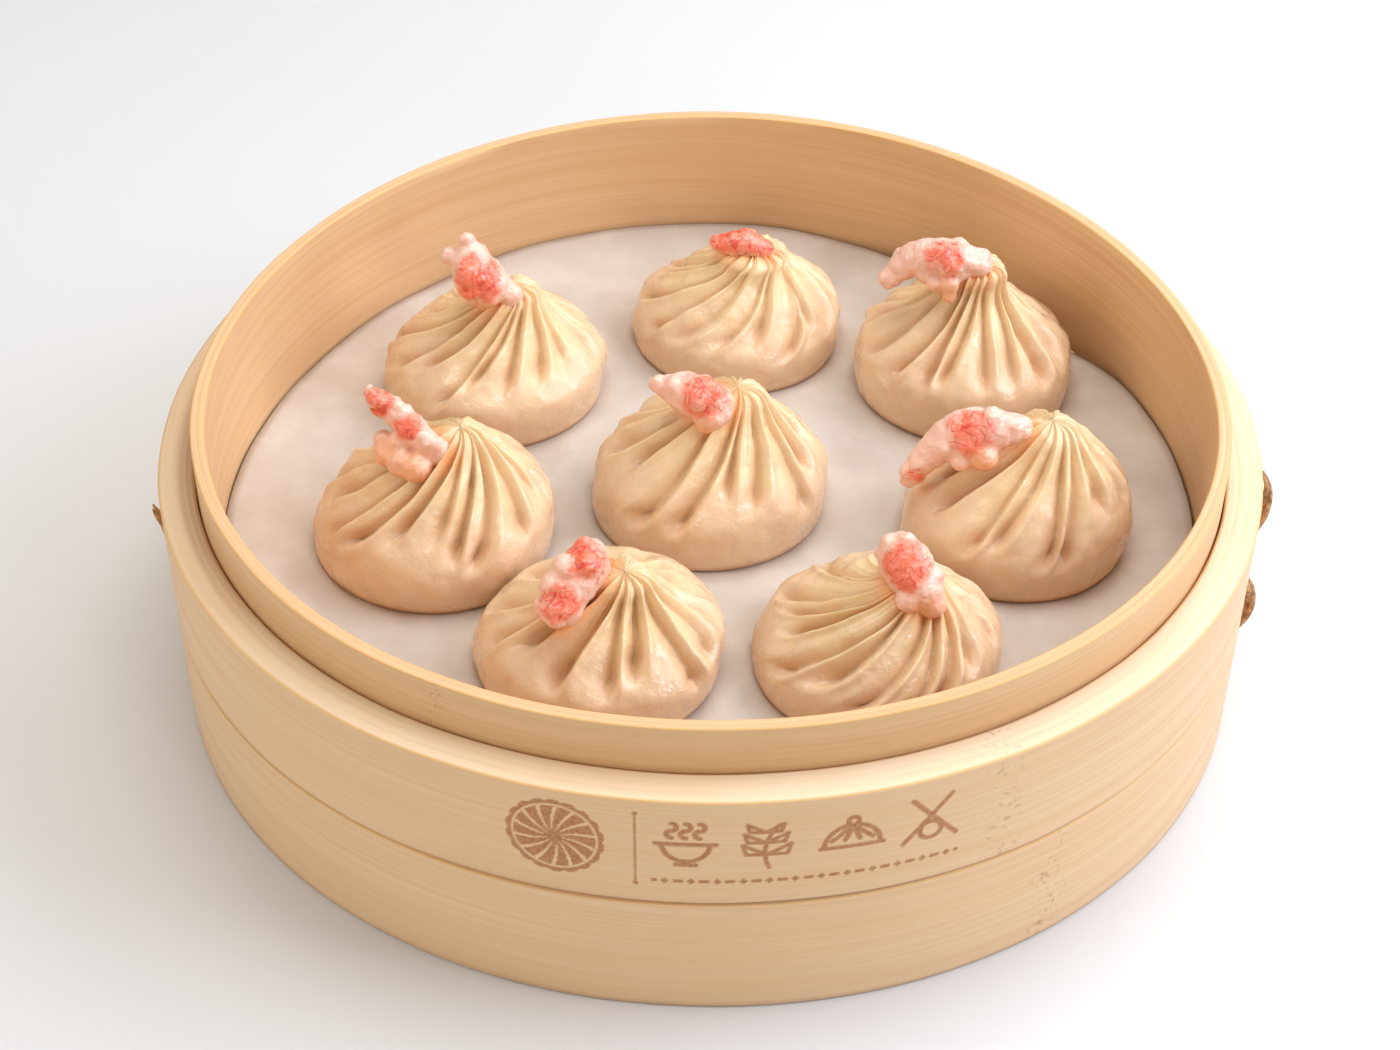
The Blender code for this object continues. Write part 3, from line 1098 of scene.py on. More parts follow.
@dataclass
class BentHoop:
    """A hoop of bamboo strip wound in layers, its edges eased."""

    name: str
    inner: float               # radius
    outer: float               # radius
    foot: float                # height of the lower edge
    top: float                 # height of the upper edge
    layers: int
    seed: int
    joints: Sequence[tuple[float, float]] = ()   # angle and half width, rad
    marks: Sequence[BurntMark] = ()
    wall_rows: int = 26
    inner_rows: int = 6
    segments: int = 540
    ease: float = 0.5 * MM     # how much the top corners are rounded
    groove: float = 0.1 * MM   # depth of the line between two layers
    stagger: float = 0.12 * MM           # how uneven the layers' tops are
    groove_stain: float = 0.3
    gap_shade: float = 0.0         # how dark the painted shade in the gap against the inner hoop is
    # how dark the painted shadow on the top near the inner hoop is, most on the
    # left
    inner_shade: float = 0.0
    pale_cut: float = 1.0      # how pale the cut top edge is
    steps_top: int = 8         # points across one layer's top
    marked_reach: float = 0.47           # each way from the front, radians
    marked_segments: int = 400

    def angles(self) -> np.ndarray:
        """Angles around the hoop, closer together where it is marked.

        Returns:
            The angles, in order.
        """
        if not self.marks:
            return np.linspace(0.0, math.tau, self.segments, endpoint=False)
        reach = self.marked_reach
        fine = np.linspace(FRONT - reach, FRONT + reach, self.marked_segments)
        rest = np.linspace(FRONT + reach, FRONT + math.tau - reach,
                           self.segments)[1:-1]
        return np.concatenate([fine, rest])

    def section(self) -> dict[str, np.ndarray]:
        """Points around the cut section, with what each one belongs to.

        Returns:
            Arrays r, z, cap (1 on the top), layer, edge and groove, and
            inside (1 on the inner face).
        """
        rows: list[tuple[float, float, float, float, float, float, float]] = []
        wide, ease = self.outer - self.inner, self.ease
        for z in np.linspace(self.foot + ease, self.top - ease,
                             self.wall_rows):
            rows.append((self.outer, z, 0, 0, 0, 0, 0))
        for turn in (30, 60):
            a = math.radians(turn)
            rows.append((self.outer - ease * (1 - math.cos(a)),
                         self.top - ease * (1 - math.sin(a)), 1, 0, 1, 0, 0))
        for layer in range(self.layers):
            for step in range(self.steps_top):
                share = (step + 0.5) / self.steps_top
                where = (layer + share) / self.layers
                r = self.outer - ease - where * (wide - 2 * ease)
                outermost = layer == 0 and share < 0.5
                innermost = layer == self.layers - 1 and share > 0.5
                dip = 1.0 - math.cos(math.pi * (share - 0.5)) ** 0.5
                cut = 0.0 if outermost or innermost else dip
                rows.append((r, self.top - cut * self.groove, 1, layer,
                             0, cut, 0))
        for turn in (60, 30):
            a = math.radians(turn)
            rows.append((self.inner + ease * (1 - math.cos(a)),
                         self.top - ease * (1 - math.sin(a)), 1,
                         self.layers - 1, 1, 0, 0))
        for z in np.linspace(self.top - ease, self.foot + ease,
                             self.inner_rows):
            rows.append((self.inner, z, 0, 0, 0, 0, 1))
        rows.append((self.inner + ease, self.foot, 0, 0, 0, 0, 0))
        rows.append((self.outer - ease, self.foot, 0, 0, 0, 0, 0))
        keys = ("r", "z", "cap", "layer", "edge", "groove", "inside")
        return dict(zip(keys, np.array(rows, dtype=float).T))

    def build(self, finish: bpy.types.Material) -> bpy.types.Object:
        """Sweep the section around and store the grain's values.

        Args:
            finish: The hoop's material.

        Returns:
            The hoop.
        """
        rng = np.random.default_rng(self.seed)
        section = self.section()
        angle = self.angles()
        theta = angle[None, :]
        cut = {key: value[:, None] * np.ones_like(theta)
               for key, value in section.items()}
        r, z = cut["r"], cut["z"]
        for layer in range(self.layers):
            rise = ring_noise(angle, (2, 3, 5, 9, 14), rng) * self.stagger
            on = (cut["layer"] == layer) & (cut["cap"] > 0)
            z = z + np.where(on, rise[None, :] - self.stagger * 0.5, 0.0)
        wave = ring_noise(angle, (4, 7, 11, 23), rng) * 0.12 * MM
        r = r + wave[None, :] * (1.0 - cut["inside"])
        r = r * lobe(theta)
        points = np.stack([r * np.cos(theta),
                           r * np.sin(theta) + CENTRE_Y, z], axis=-1)
        run = np.concatenate([[0.0], np.cumsum(np.hypot(
            np.diff(section["r"]), np.diff(section["z"])))])
        drift = ring_noise(angle, (1, 2, 3), rng) * 1.5 * MM
        values = {
            "across": run[:, None] + drift[None, :],
            "edge": cut["edge"],
            "cap": self.pale_cut * cut["cap"],
            "joint": self.joint_mask(theta, z),
            # stain holds groove lines plus painted shade near the inner hoop, at
            # the foot and in the gap
            "stain": self.groove_and_shade_mask(cut, theta, z),
            "burn": self.burn_mask(cut, theta, z),
        }
        faces = grid_faces(len(section["r"]), len(angle), True)
        return make_piece(self.name, points, faces, finish, values)

    def joint_mask(self, theta: np.ndarray, z: np.ndarray) -> np.ndarray:
        """Where the stem's joints cross the strip, 0 to 1.

        Args:
            theta: Angle of each point.
            z: Height of each point.

        Returns:
            One value for each point.
        """
        mask = np.zeros(z.shape)
        for at, half in self.joints:
            sway = 0.35 * half * np.sin(z / (2.4 * MM) + 9.0 * at)
            away = angle_away(theta, at) - sway
            mask = np.maximum(mask, bell(away, half))
        return mask

    def groove_and_shade_mask(self, cut: dict[str, np.ndarray], theta: np.ndarray,
                   z: np.ndarray) -> np.ndarray:
        """Where the strip is darker, 0 to 1: groove lines and painted shade.

        Args:
            cut: The section, spread around the hoop.
            theta: Angle of each point.
            z: Height of each point.

        Returns:
            One value for each point.
        """
        rng = np.random.default_rng(self.seed + 500)
        ragged = ring_noise(theta, (6, 11, 19, 34, 55), rng)
        groove = self.groove_stain * cut["groove"] * (0.6 + 0.8 * ragged)
        inward = np.clip((self.inner + 5.2 * MM - cut["r"]) / (4.0 * MM),
                         0.0, 1.0)
        # painted shadow on the top near the inner hoop, strongest on the left
        # side
        left = bell(angle_away(theta, math.pi), 0.75)
        inner_shadow = self.inner_shade * cut["cap"] \
            * (inward * (0.12 + 0.88 * left) + 0.22 * left * (1.0 - inward))
        # painted shade along the hoop's lower edge
        low = np.exp(-np.abs(z - self.foot) / (0.5 * MM)) * 0.5
        sides = 0.45 + 0.55 * np.abs(np.cos(theta))
        # painted shade: a thin dark line on the top against the inner hoop
        gap_shade_line = np.exp(-np.maximum(cut["r"] - self.inner, 0.0) / (0.45 * MM))
        gap_shade_line = self.gap_shade * cut["cap"] * gap_shade_line * sides \
            * np.clip(0.75 + ragged, 0.0, 1.0)
        return np.clip(np.maximum.reduce([groove, inner_shadow, low, gap_shade_line]), 0.0, 1.0)

    def burn_mask(self, cut: dict[str, np.ndarray], theta: np.ndarray,
                  z: np.ndarray) -> np.ndarray:
        """Where the marks are burnt in, 0 to 1.

        Args:
            cut: The section, spread around the hoop.
            theta: Angle of each point.
            z: Height of each point.

        Returns:
            One value for each point.
        """
        along = angle_away(theta, FRONT) * self.outer * np.ones_like(z)
        mask = np.zeros(z.shape)
        for mark in self.marks:
            mask = np.maximum(mask, mark.ink(along, z))
        face = (cut["cap"] == 0) & (cut["inside"] == 0) \
            & (cut["z"] > self.foot)
        return mask * face


def hoops() -> list[tuple[BentHoop, str]]:
    """List the three hoops.

    Returns:
        Each hoop with the CAD node that it stands for.
    """
    wall = BentHoop("wall_hoop", 101.7 * MM, 104.4 * MM, 12.0 * MM,
                    64.8 * MM, 2, 11,
                    joints=((math.radians(-117.7), 0.02),),
                    wall_rows=20, inner_rows=24, pale_cut=0.0,
                    ease=0.35 * MM)
    upper = BentHoop("band_upper", 104.7 * MM, 112.0 * MM, 28.5 * MM,
                     54.5 * MM, 3, 12,
                     joints=((math.radians(-61.5), 0.028),),
                     marks=BURNT_MARKS, wall_rows=90, segments=220,
                     inner_shade=0.75, gap_shade=0.9)
    lower = BentHoop("band_lower", 104.7 * MM, 112.0 * MM, 0.0, 28.2 * MM,
                     3, 13, joints=((math.radians(-55.0), 0.028),))
    return [(wall, "inner_hoop"), (upper, "upper_band"),
            (lower, "lower_band")]


@dataclass
class SlattedFloor:
    """The hidden floor's slats, a row cut to the round of the hoops."""

    slat_pitch: float = 21.0 * MM
    slat_count: int = 9
    reach: float = 99.8 * MM
    bend: float = 0.3 * MM     # how far a slat wanders from straight

    def tree(self, finish: bpy.types.Material) -> bpy.types.NodeTree:
        """Make the geometry nodes that lay a row of slats cut to a circle.

        Args:
            finish: The slats' material.

        Returns:
            The tree, whose inputs set the row's sizes.
        """
        made = bpy.data.node_groups.new("slat_row", "GeometryNodeTree")
        made.is_modifier = True
        face = made.interface
        face.new_socket(name="Geometry", in_out="INPUT",
                        socket_type="NodeSocketGeometry")
        for label, kind in (("Count", "NodeSocketInt"),
                            ("Pitch", "NodeSocketFloat"),
                            ("Width", "NodeSocketFloat"),
                            ("Thickness", "NodeSocketFloat"),
                            ("Reach", "NodeSocketFloat"),
                            ("Foot", "NodeSocketFloat"),
                            ("Middle", "NodeSocketFloat")):
            face.new_socket(name=label, in_out="INPUT", socket_type=kind)
        face.new_socket(name="Geometry", in_out="OUTPUT",
                        socket_type="NodeSocketGeometry")
        desk = NodeDesk(made)
        start, end = desk.add("NodeGroupInput"), desk.add("NodeGroupOutput")
        given = start.outputs
        span = desk.math("MULTIPLY", given["Pitch"],
                         desk.math("SUBTRACT", given["Count"], 1.0))
        half = desk.math("MULTIPLY", span, 0.5)
        low = desk.math("MULTIPLY", half, -1.0)
        first = desk.add("ShaderNodeCombineXYZ", {1: low})
        step = desk.add("ShaderNodeCombineXYZ", {1: given["Pitch"]})
        row = desk.add("GeometryNodeMeshLine",
                       {"Count": given["Count"],
                        "Start Location": first.outputs[0],
                        "Offset": step.outputs[0]})
        edge = desk.add("ShaderNodeCombineXYZ",
                        {0: 2.0, 1: given["Width"], 2: given["Thickness"]})
        block = desk.add("GeometryNodeMeshCube",
                         {"Size": edge.outputs[0], "Vertices X": 41,
                          "Vertices Y": 7, "Vertices Z": 3})
        placed = desk.add("GeometryNodeInstanceOnPoints",
                          {"Points": row.outputs["Mesh"],
                           "Instance": block.outputs["Mesh"]})
        real = desk.add("GeometryNodeRealizeInstances",
                        {0: placed.outputs[0]})
        spot = desk.add("GeometryNodeInputPosition")
        apart = desk.add("ShaderNodeSeparateXYZ", {0: spot.outputs[0]})
        y = apart.outputs[1]
        room = desk.math("SUBTRACT", desk.math("POWER", given["Reach"], 2.0),
                         desk.math("MULTIPLY", y, y))
        cut = desk.math("SQRT", desk.math("MAXIMUM", room, 0.0))
        bow = desk.math("MULTIPLY", self.bend, desk.math(
            "SINE", desk.math("MULTIPLY", apart.outputs[0], 11.0)))
        x = desk.math("MULTIPLY", apart.outputs[0], cut)
        tall = desk.math("ADD", apart.outputs[2], desk.math(
            "ADD", given["Foot"],
            desk.math("MULTIPLY", given["Thickness"], 0.5)))
        back = desk.math("ADD", y, desk.math("ADD", given["Middle"], bow))
        moved = desk.add("ShaderNodeCombineXYZ", {0: x, 1: back, 2: tall})
        shaped = desk.add("GeometryNodeSetPosition",
                          {"Geometry": real.outputs[0],
                           "Position": moved.outputs[0]})
        dressed = desk.add("GeometryNodeSetMaterial",
                           {"Geometry": shaped.outputs[0],
                            "Material": finish})
        desk.feed(end.inputs[0], dressed.outputs[0])
        return made

    def build(self, finish: bpy.types.Material) -> None:
        """Lay the slats.

        Args:
            finish: The slats' material.
        """
        low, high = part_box("floor_slat_5")
        row = placed("floor_slats", bpy.data.meshes.new("floor_slats"))
        layout = row.modifiers.new("slats", "NODES")
        layout.node_group = self.tree(finish)
        sizes = {"Count": self.slat_count, "Pitch": self.slat_pitch,
                 "Width": high[1] - low[1], "Thickness": high[2] - low[2],
                 "Reach": self.reach, "Foot": low[2], "Middle": CENTRE_Y}
        for item in layout.node_group.interface.items_tree:
            if item.in_out == "INPUT" and item.name in sizes:
                layout[item.identifier] = sizes[item.name]
        row = applied(row)
        flat = np.empty(3 * len(row.data.vertices))
        row.data.vertices.foreach_get("co", flat)
        points = flat.reshape(-1, 3)
        store(row.data, {"across": points[:, 1] + 0.4 * points[:, 2]})
        settle(row, "bamboo", *[f"floor_slat_{i + 1}"
                                for i in range(self.slat_count)])


@dataclass
class PaperLiner:
    """The round sheet of baking paper that the food sits on."""

    radius: float = 101.2 * MM
    foot: float = 32.5 * MM
    thick: float = 0.3 * MM
    dent: float = 7.0 * MM
    dent_at: float = math.radians(46.0)
    dent_spread: float = math.radians(15.0)
    lift: float = 2.4 * MM
    lift_at: float = math.radians(100.0)
    lift_spread: float = math.radians(36.0)
    side_lift: float = 1.6 * MM
    side_at: float = math.radians(15.0)
    side_spread: float = math.radians(14.0)
    columns: int = 260
    rings: int = 50

    def build(self, finish: bpy.types.Material,
              crowd: Sequence["Dumpling"]) -> bpy.types.Object:
        """Make the sheet, a little wavy, its edge up the back wall.

        Args:
            finish: The sheet's material.
            crowd: The dumplings that stand on it.

        Returns:
            The sheet.
        """
        rng = np.random.default_rng(5)
        theta = np.linspace(0.0, math.tau, self.columns, endpoint=False)
        share = np.linspace(0.004, 1.0, self.rings)[:, None]
        edge = self.radius * lobe(theta) - self.dent \
            * bell(angle_away(theta, self.dent_at), self.dent_spread)
        edge = edge + ring_noise(theta, (5, 9, 16, 31), rng) * 0.35 * MM
        rise = self.lift \
            * bell(angle_away(theta, self.lift_at), self.lift_spread) \
            + self.side_lift \
            * bell(angle_away(theta, self.side_at), self.side_spread)
        wave = ring_noise(theta, (3, 7, 12, 19), rng)
        r = share * edge
        lip = smoothstep(0.80, 1.0, share)
        z = self.foot + lip ** 1.6 * (rise + 0.45 * MM * (0.6 + wave))
        x, y = r * np.cos(theta), r * np.sin(theta) + CENTRE_Y
        z = z + 0.12 * MM * (np.sin(x / (9 * MM)) * np.sin(y / (13 * MM)) + 1)
        # a ring around each dumpling's foot: 1 inside 0.9 of its radius, fading
        # out 3 mm past it
        foot_ring = np.zeros(x.shape)
        for item in crowd:
            reach = np.hypot(x - item.centre[0], y - item.centre[1])
            foot_ring = np.maximum(foot_ring, 1.0 - smoothstep(
                item.radius * 0.9, item.radius + 3.0 * MM, reach))
        upper = np.stack([x, y, z + self.thick], axis=-1)
        under = np.stack([x, y, z], axis=-1)[::-1]
        points = np.concatenate([upper, under]).reshape(-1, 3)
        return make_piece("paper_sheet", points,
                          tube_faces(2 * self.rings, self.columns), finish,
                          {"foot_ring": np.concatenate([foot_ring, foot_ring[::-1]])})


# ---------------------------------------------------------------------- food


@dataclass(frozen=True)
class Fold:
    """One pleat of the dough."""

    angle: float               # radians, at its lower end
    end: float                 # share of the height where it dies out
    strength: float
    before: float              # half the gap to the pleat before, radians
    after: float               # half the gap to the next pleat, radians


@dataclass
class Dumpling:
    """One soup dumpling: belly, swirled folds and the gathered crown."""

    number: int
    centre: tuple[float, float]
    radius: float
    height: float
    crown: tuple[float, float]
    folds: int
    swirl: float               # degrees between belly and crown
    depth: float               # of a fold, metres
    calm: float = math.radians(15.0)    # the side where folds are shallow
    calm_share: float = 0.68
    calm_spread: float = 1.0   # radians
    twist_power: float = 1.5   # how late on the way up the folds turn
    valley: float = 4.2 * MM   # the most that half a fold's gap is wide
    sunk: float = 0.3 * MM     # how deep the foot sits in the paper
    broad: float = 0.0         # 0 for a pointed crown, 1 for a wide neck
    slim: float = 0.1          # how much the shoulders draw in
    columns: int = 320
    rows: int = 104

    def profile(self) -> np.ndarray:
        """Radius and height along the outline, from the foot to the crown.

        Returns:
            Rows of radius and height, in shares of the dumpling's own.
        """
        belly = [(0.60, 0.0), (0.94, 0.003), (0.98, 0.03), (0.995, 0.09),
                 (1.0, 0.18), (0.985, 0.30), (0.93, 0.42), (0.83, 0.54),
                 (0.67, 0.67), (0.485, 0.785)]
        w = self.broad
        top = [(0.335 + 0.08 * w, 0.87), (0.225 + 0.19 * w, 0.93),
               (0.15 + 0.22 * w, 0.97), (0.09 + 0.16 * w, 0.995),
               (0.045 + 0.06 * w, 1.0), (0.01, 1.0)]
        line = smooth_curve(belly + top, self.rows)
        line[:, 0] *= 1.0 - self.slim * smoothstep(0.35, 0.75, line[:, 1])
        return line

    def fold_list(self, rng: np.random.Generator) -> list[Fold]:
        """Scatter the pleats unevenly around the dough.

        Args:
            rng: Source of the uneven spacing.

        Returns:
            The pleats, in order around the dough.
        """
        gap = math.tau / self.folds
        at = [gap * (k + rng.uniform(-0.36, 0.36)) for k in range(self.folds)]
        made = []
        for k, angle in enumerate(at):
            before = (angle - at[k - 1]) % math.tau / 2.0
            after = (at[(k + 1) % self.folds] - angle) % math.tau / 2.0
            calm = math.exp(-(float(angle_away(np.array(angle), self.calm))
                              / self.calm_spread) ** 2)
            strength = rng.uniform(0.55, 1.0) * (1 - self.calm_share * calm)
            end = rng.uniform(0.24, 0.50) + 0.1 * calm
            made.append(Fold(angle, end, strength, before, after))
        return made

    def creases(self, lat: np.ndarray, rho: np.ndarray, theta: np.ndarray,
                rng: np.random.Generator) -> np.ndarray:
        """Depth of the valleys between the pleats.

        Args:
            lat: Share of the height of each row.
            rho: Radius of each row, metres.
            theta: Angle of each column.
            rng: Source of the uneven spacing.

        Returns:
            Depth in metres for each row and column.
        """
        swirl, power = math.radians(self.swirl), self.twist_power
        dip = np.zeros((len(rho), len(theta)))
        lift = np.zeros_like(dip)
        for fold in self.fold_list(rng):
            bend = swirl * (lat ** power - fold.end ** power) \
                + 0.05 * np.sin(7.0 * lat + 9.0 * fold.angle)
            away = angle_away(theta[None, :], fold.angle + bend)
            side = np.where(away > 0.0, 0.7 * fold.after, 1.2 * fold.before)
            reach = np.minimum(side * rho, self.valley)
            gap = away * rho / reach
            valley = (1.0 - np.minimum(np.abs(gap), 1.0) ** 0.75) ** 1.2
            opening = smoothstep(fold.end - 0.05, fold.end + 0.13, lat)
            pocket = 1.0 + 0.6 * bell(lat - fold.end - 0.1, 0.08)
            limit = np.minimum(self.depth,
                               1.1 * (fold.before + fold.after) * rho)
            crest = 0.42 * bell(gap - 0.85, 0.5)
            dip = np.maximum(dip, fold.strength * opening * pocket * limit
                             * valley)
            lift = np.maximum(lift, fold.strength * opening * limit * crest)
        return (dip - lift) * (1.0 - 0.5 * smoothstep(0.78, 0.97, lat))

    def build(self, finish: bpy.types.Material,
              meat: "CrabTopping") -> bpy.types.Object:
        """Make the dough.

        Args:
            finish: The dough's material.
            meat: The topping that stains it.

        Returns:
            The dough.
        """
        rng = np.random.default_rng(40 + self.number)
        line = self.profile()
        theta = np.linspace(0.0, math.tau, self.columns, endpoint=False)
        lat = np.clip(line[:, 1:2], 0.0, 1.0)
        rho = np.maximum(line[:, :1], 0.02) * self.radius
        dip = self.creases(lat, rho, theta, rng)
        turned = theta[None, :] \
            - math.radians(self.swirl) * lat ** self.twist_power
        fine = ring_noise(turned, (37, 53, 71), rng) \
            * smoothstep(0.5, 0.85, lat) * 0.16 * MM
        outline = 1.0 + (1.0 - 0.6 * lat) * (
            0.016 * np.sin(2 * theta + rng.uniform(0, 6))
            + 0.012 * np.sin(3 * theta + rng.uniform(0, 6)))
        slope = np.gradient(line, axis=0)
        length = np.hypot(slope[:, 0] * self.radius, slope[:, 1] * self.height)
        out_r = (slope[:, 1] * self.height / length)[:, None]
        out_z = (-slope[:, 0] * self.radius / length)[:, None]
        push = fine - dip
        r = line[:, :1] * self.radius * outline + push * out_r
        z = line[:, 1:2] * self.height + push * np.clip(out_z, 0.0, 1.0)
        lip = smoothstep(0.86, 1.0, lat)
        loose = ring_noise(theta, (3, 5, 8, 13, 21), rng)
        z = z + lip * loose * 0.3 * MM
        r = r + lip * ring_noise(theta, (4, 7, 11), rng) * 0.25 * MM \
            * np.clip(r / (2.0 * MM), 0.0, 1.0)
        shift = lat ** 1.4
        x = r * np.cos(theta) + self.centre[0] + self.crown[0] * shift
        y = r * np.sin(theta) + self.centre[1] + self.crown[1] * shift
        points = np.stack([x, y, z + self.base_height()], axis=-1)
        bump = lumps(points, 8.0 * MM, 3.1 * self.number) * 0.7 * MM \
            + lumps(points, 3.0 * MM, 7.7 * self.number) * 0.22 * MM
        soft = smoothstep(0.02, 0.12, lat)
        points[..., 0] += bump * soft * out_r * np.cos(theta)
        points[..., 1] += bump * soft * out_r * np.sin(theta)
        points[..., 2] += bump * soft * np.clip(out_z, 0.0, 1.0)
        flat = points.reshape(-1, 3)
        values = {
            "tone": smoothstep(0.25, 0.95, lat) * np.ones_like(dip),
            # painted shade, deepest in the creases
            "fold": np.clip(dip / (1.1 * MM), 0.0, 1.0) ** 1.4,
            # painted shade at the foot, on the paper
            "foot": (1.0 - smoothstep(0.0, 0.06, lat))
            * np.ones_like(dip),
            "stain": meat.stain(flat).reshape(dip.shape),
        }
        return make_piece(f"dough_{self.number}", flat,
                          tube_faces(self.rows, self.columns), finish, values)

    def base_height(self) -> float:
        """Height of the dough's underside, on the paper."""
        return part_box(f"dumpling_{self.number}")[0][2] - self.sunk


@dataclass
class CrabTopping:
    """A lump of crab meat that leans out of one dumpling's mouth."""

    number: int
    centre: tuple[float, float]
    stations: Sequence[tuple[float, float, float, float]]   # mm
    blush: Sequence[tuple[float, float, float, float]]      # mm
    knobs: Sequence[tuple[float, float, float, float]] = ()  # mm
    amber: Sequence[tuple[float, float, float, float]] = ()  # mm
    voxel: float = 0.4 * MM
    lumps_each: int = 4
    lump_share: float = 0.62
    facing: tuple[float, float, float] = (0.0, -0.5, 0.85)
    stain_most: float = 0.8    # how orange the dough is against the meat
    stain_reach: float = 1.6 * MM

    def foot(self) -> np.ndarray:
        """The middle of the dough's foot, in metres."""
        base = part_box(f"dumpling_{self.number}")[0][2]
        return np.array((*self.centre, base))

    def line(self) -> np.ndarray:
        """Rows of x, y, z and half thickness in metres, along the middle.

        Returns:
            The rows, evenly spaced.
        """
        rows = smooth_curve(self.stations, 40) * MM
        rows[:, :3] += self.foot()
        return rows

    def stain(self, points: np.ndarray) -> np.ndarray:
        """How orange the dough is near the meat, 0 to 1.

        Args:
            points: Rows of x, y, z in metres.

        Returns:
            One value for each point.
        """
        line = self.line()
        best = np.full(len(points), 1.0)
        for x, y, z, half in line[::3]:
            gap = np.linalg.norm(points - (x, y, z), axis=1) - half
            best = np.minimum(best, gap)
        return self.stain_most * np.exp(-np.maximum(best, 0.0)
                                        / self.stain_reach)

    def build(self, finish: bpy.types.Material) -> bpy.types.Object:
        """Heap lumps along the line and melt them together.

        Args:
            finish: The meat's material.

        Returns:
            The meat.
        """
        rng = np.random.default_rng(70 + self.number)
        line = self.line()
        unit_points, unit_faces = self.pebble()
        points, faces = [], []
        for k in np.linspace(0, len(line) - 1, 2 * len(self.stations)):
            x, y, z, half = line[int(k)]
            balls = [(np.zeros(3), 0.92 * half)]
            for _ in range(self.lumps_each):
                way = rng.normal(size=3)
                way /= np.linalg.norm(way)
                balls.append((way * half * rng.uniform(0.5, 0.7),
                              half * self.lump_share
                              * rng.uniform(0.6, 1.0)))
            for shift, size in balls:
                start = len(points) * len(unit_points)
                points.append(unit_points * size + shift + (x, y, z))
                faces += (unit_faces + start).tolist()
        for x, y, z, half in self.knobs:
            start = len(points) * len(unit_points)
            points.append(unit_points * half * MM + self.spot(x, y, z))
            faces += (unit_faces + start).tolist()
        heap = make_piece(f"crab_{self.number}", np.concatenate(points),
                          faces, finish)
        melt = heap.modifiers.new("melt", "REMESH")
        melt.mode = "VOXEL"
        melt.voxel_size = self.voxel
        ease = heap.modifiers.new("ease", "SMOOTH")
        ease.factor = 0.5
        ease.iterations = 5
        heap = applied(heap)
        self.dress(heap)
        return heap

    def spot(self, x: float, y: float, z: float) -> np.ndarray:
        """A place given in mm from the middle of the dough's foot."""
        return self.foot() + np.array((x, y, z)) * MM

    def near(self, points: np.ndarray, x: float, y: float, z: float,
             reach: float) -> np.ndarray:
        """How near points are to a place, 1 on it and 0 past its reach.

        Args:
            points: Rows of x, y, z in metres.
            x: The place, mm from the middle of the dough's foot.
            y: Its second number.
            z: Its height.
            reach: How far it reaches, mm.

        Returns:
            One value for each point.
        """
        gap = np.linalg.norm(points - self.spot(x, y, z), axis=1)
        return np.exp(-(gap / (reach * MM)) ** 4)

    @staticmethod
    def pebble() -> tuple[np.ndarray, np.ndarray]:
        """Points and faces of a small round lump of unit radius.

        Returns:
            The points, and three numbers a face.
        """
        rows, columns = 8, 12
        up = np.linspace(-math.pi / 2, math.pi / 2, rows + 2)[1:-1]
        turn = np.linspace(0.0, math.tau, columns, endpoint=False)
        ring = np.stack([np.outer(np.cos(up), np.cos(turn)),
                         np.outer(np.cos(up), np.sin(turn)),
                         np.outer(np.sin(up), np.ones(columns))],
                        axis=-1).reshape(-1, 3)
        points = np.vstack([ring, (0.0, 0.0, -1.0), (0.0, 0.0, 1.0)])
        quads = np.array(grid_faces(rows, columns))
        tris = [quads[:, (0, 1, 2)], quads[:, (0, 2, 3)]]
        south, north = len(ring), len(ring) + 1
        last = (rows - 1) * columns
        caps = []
        for k in range(columns):
            m = (k + 1) % columns
            caps.append((south, m, k))
            caps.append((north, last + k, last + m))
        return points, np.vstack(tris + [np.array(caps)])

    def dress(self, heap: bpy.types.Object) -> None:
        """Roughen the meat and store its blush, hollows and underside.

        Args:
            heap: The melted meat.
        """
        mesh = heap.data
        count = len(mesh.vertices)
        flat, normal = np.empty(3 * count), np.empty(3 * count)
        mesh.vertices.foreach_get("co", flat)
        mesh.vertices.foreach_get("normal", normal)
        points, normal = flat.reshape(-1, 3), normal.reshape(-1, 3)
        rough = lumps(points, 2.2 * MM, 5.3 * self.number)
        fine = lumps(points, 0.9 * MM, 2.9 * self.number)
        wrinkle = 0.30 * rough - 0.16 * bell(fine, 0.14)
        points = points + normal * (MM * wrinkle)[:, None]
        mesh.vertices.foreach_set("co", points.ravel())
        mesh.shade_smooth()
        mesh.update()
        toward = np.array(self.facing) / np.linalg.norm(self.facing)
        shown = smoothstep(-0.35, 0.45, normal @ toward)
        blush = np.zeros(count)
        for patch in self.blush:
            blush = np.maximum(blush, self.near(points, *patch) * shown)
        warm = 0.8 * smoothstep(0.1, 0.8, -normal[:, 2])
        for patch in self.amber:
            warm = np.maximum(warm, 0.85 * self.near(points, *patch))
        store(mesh, {"blush": blush, "hollow": bell(fine, 0.12),
                     "under": warm})


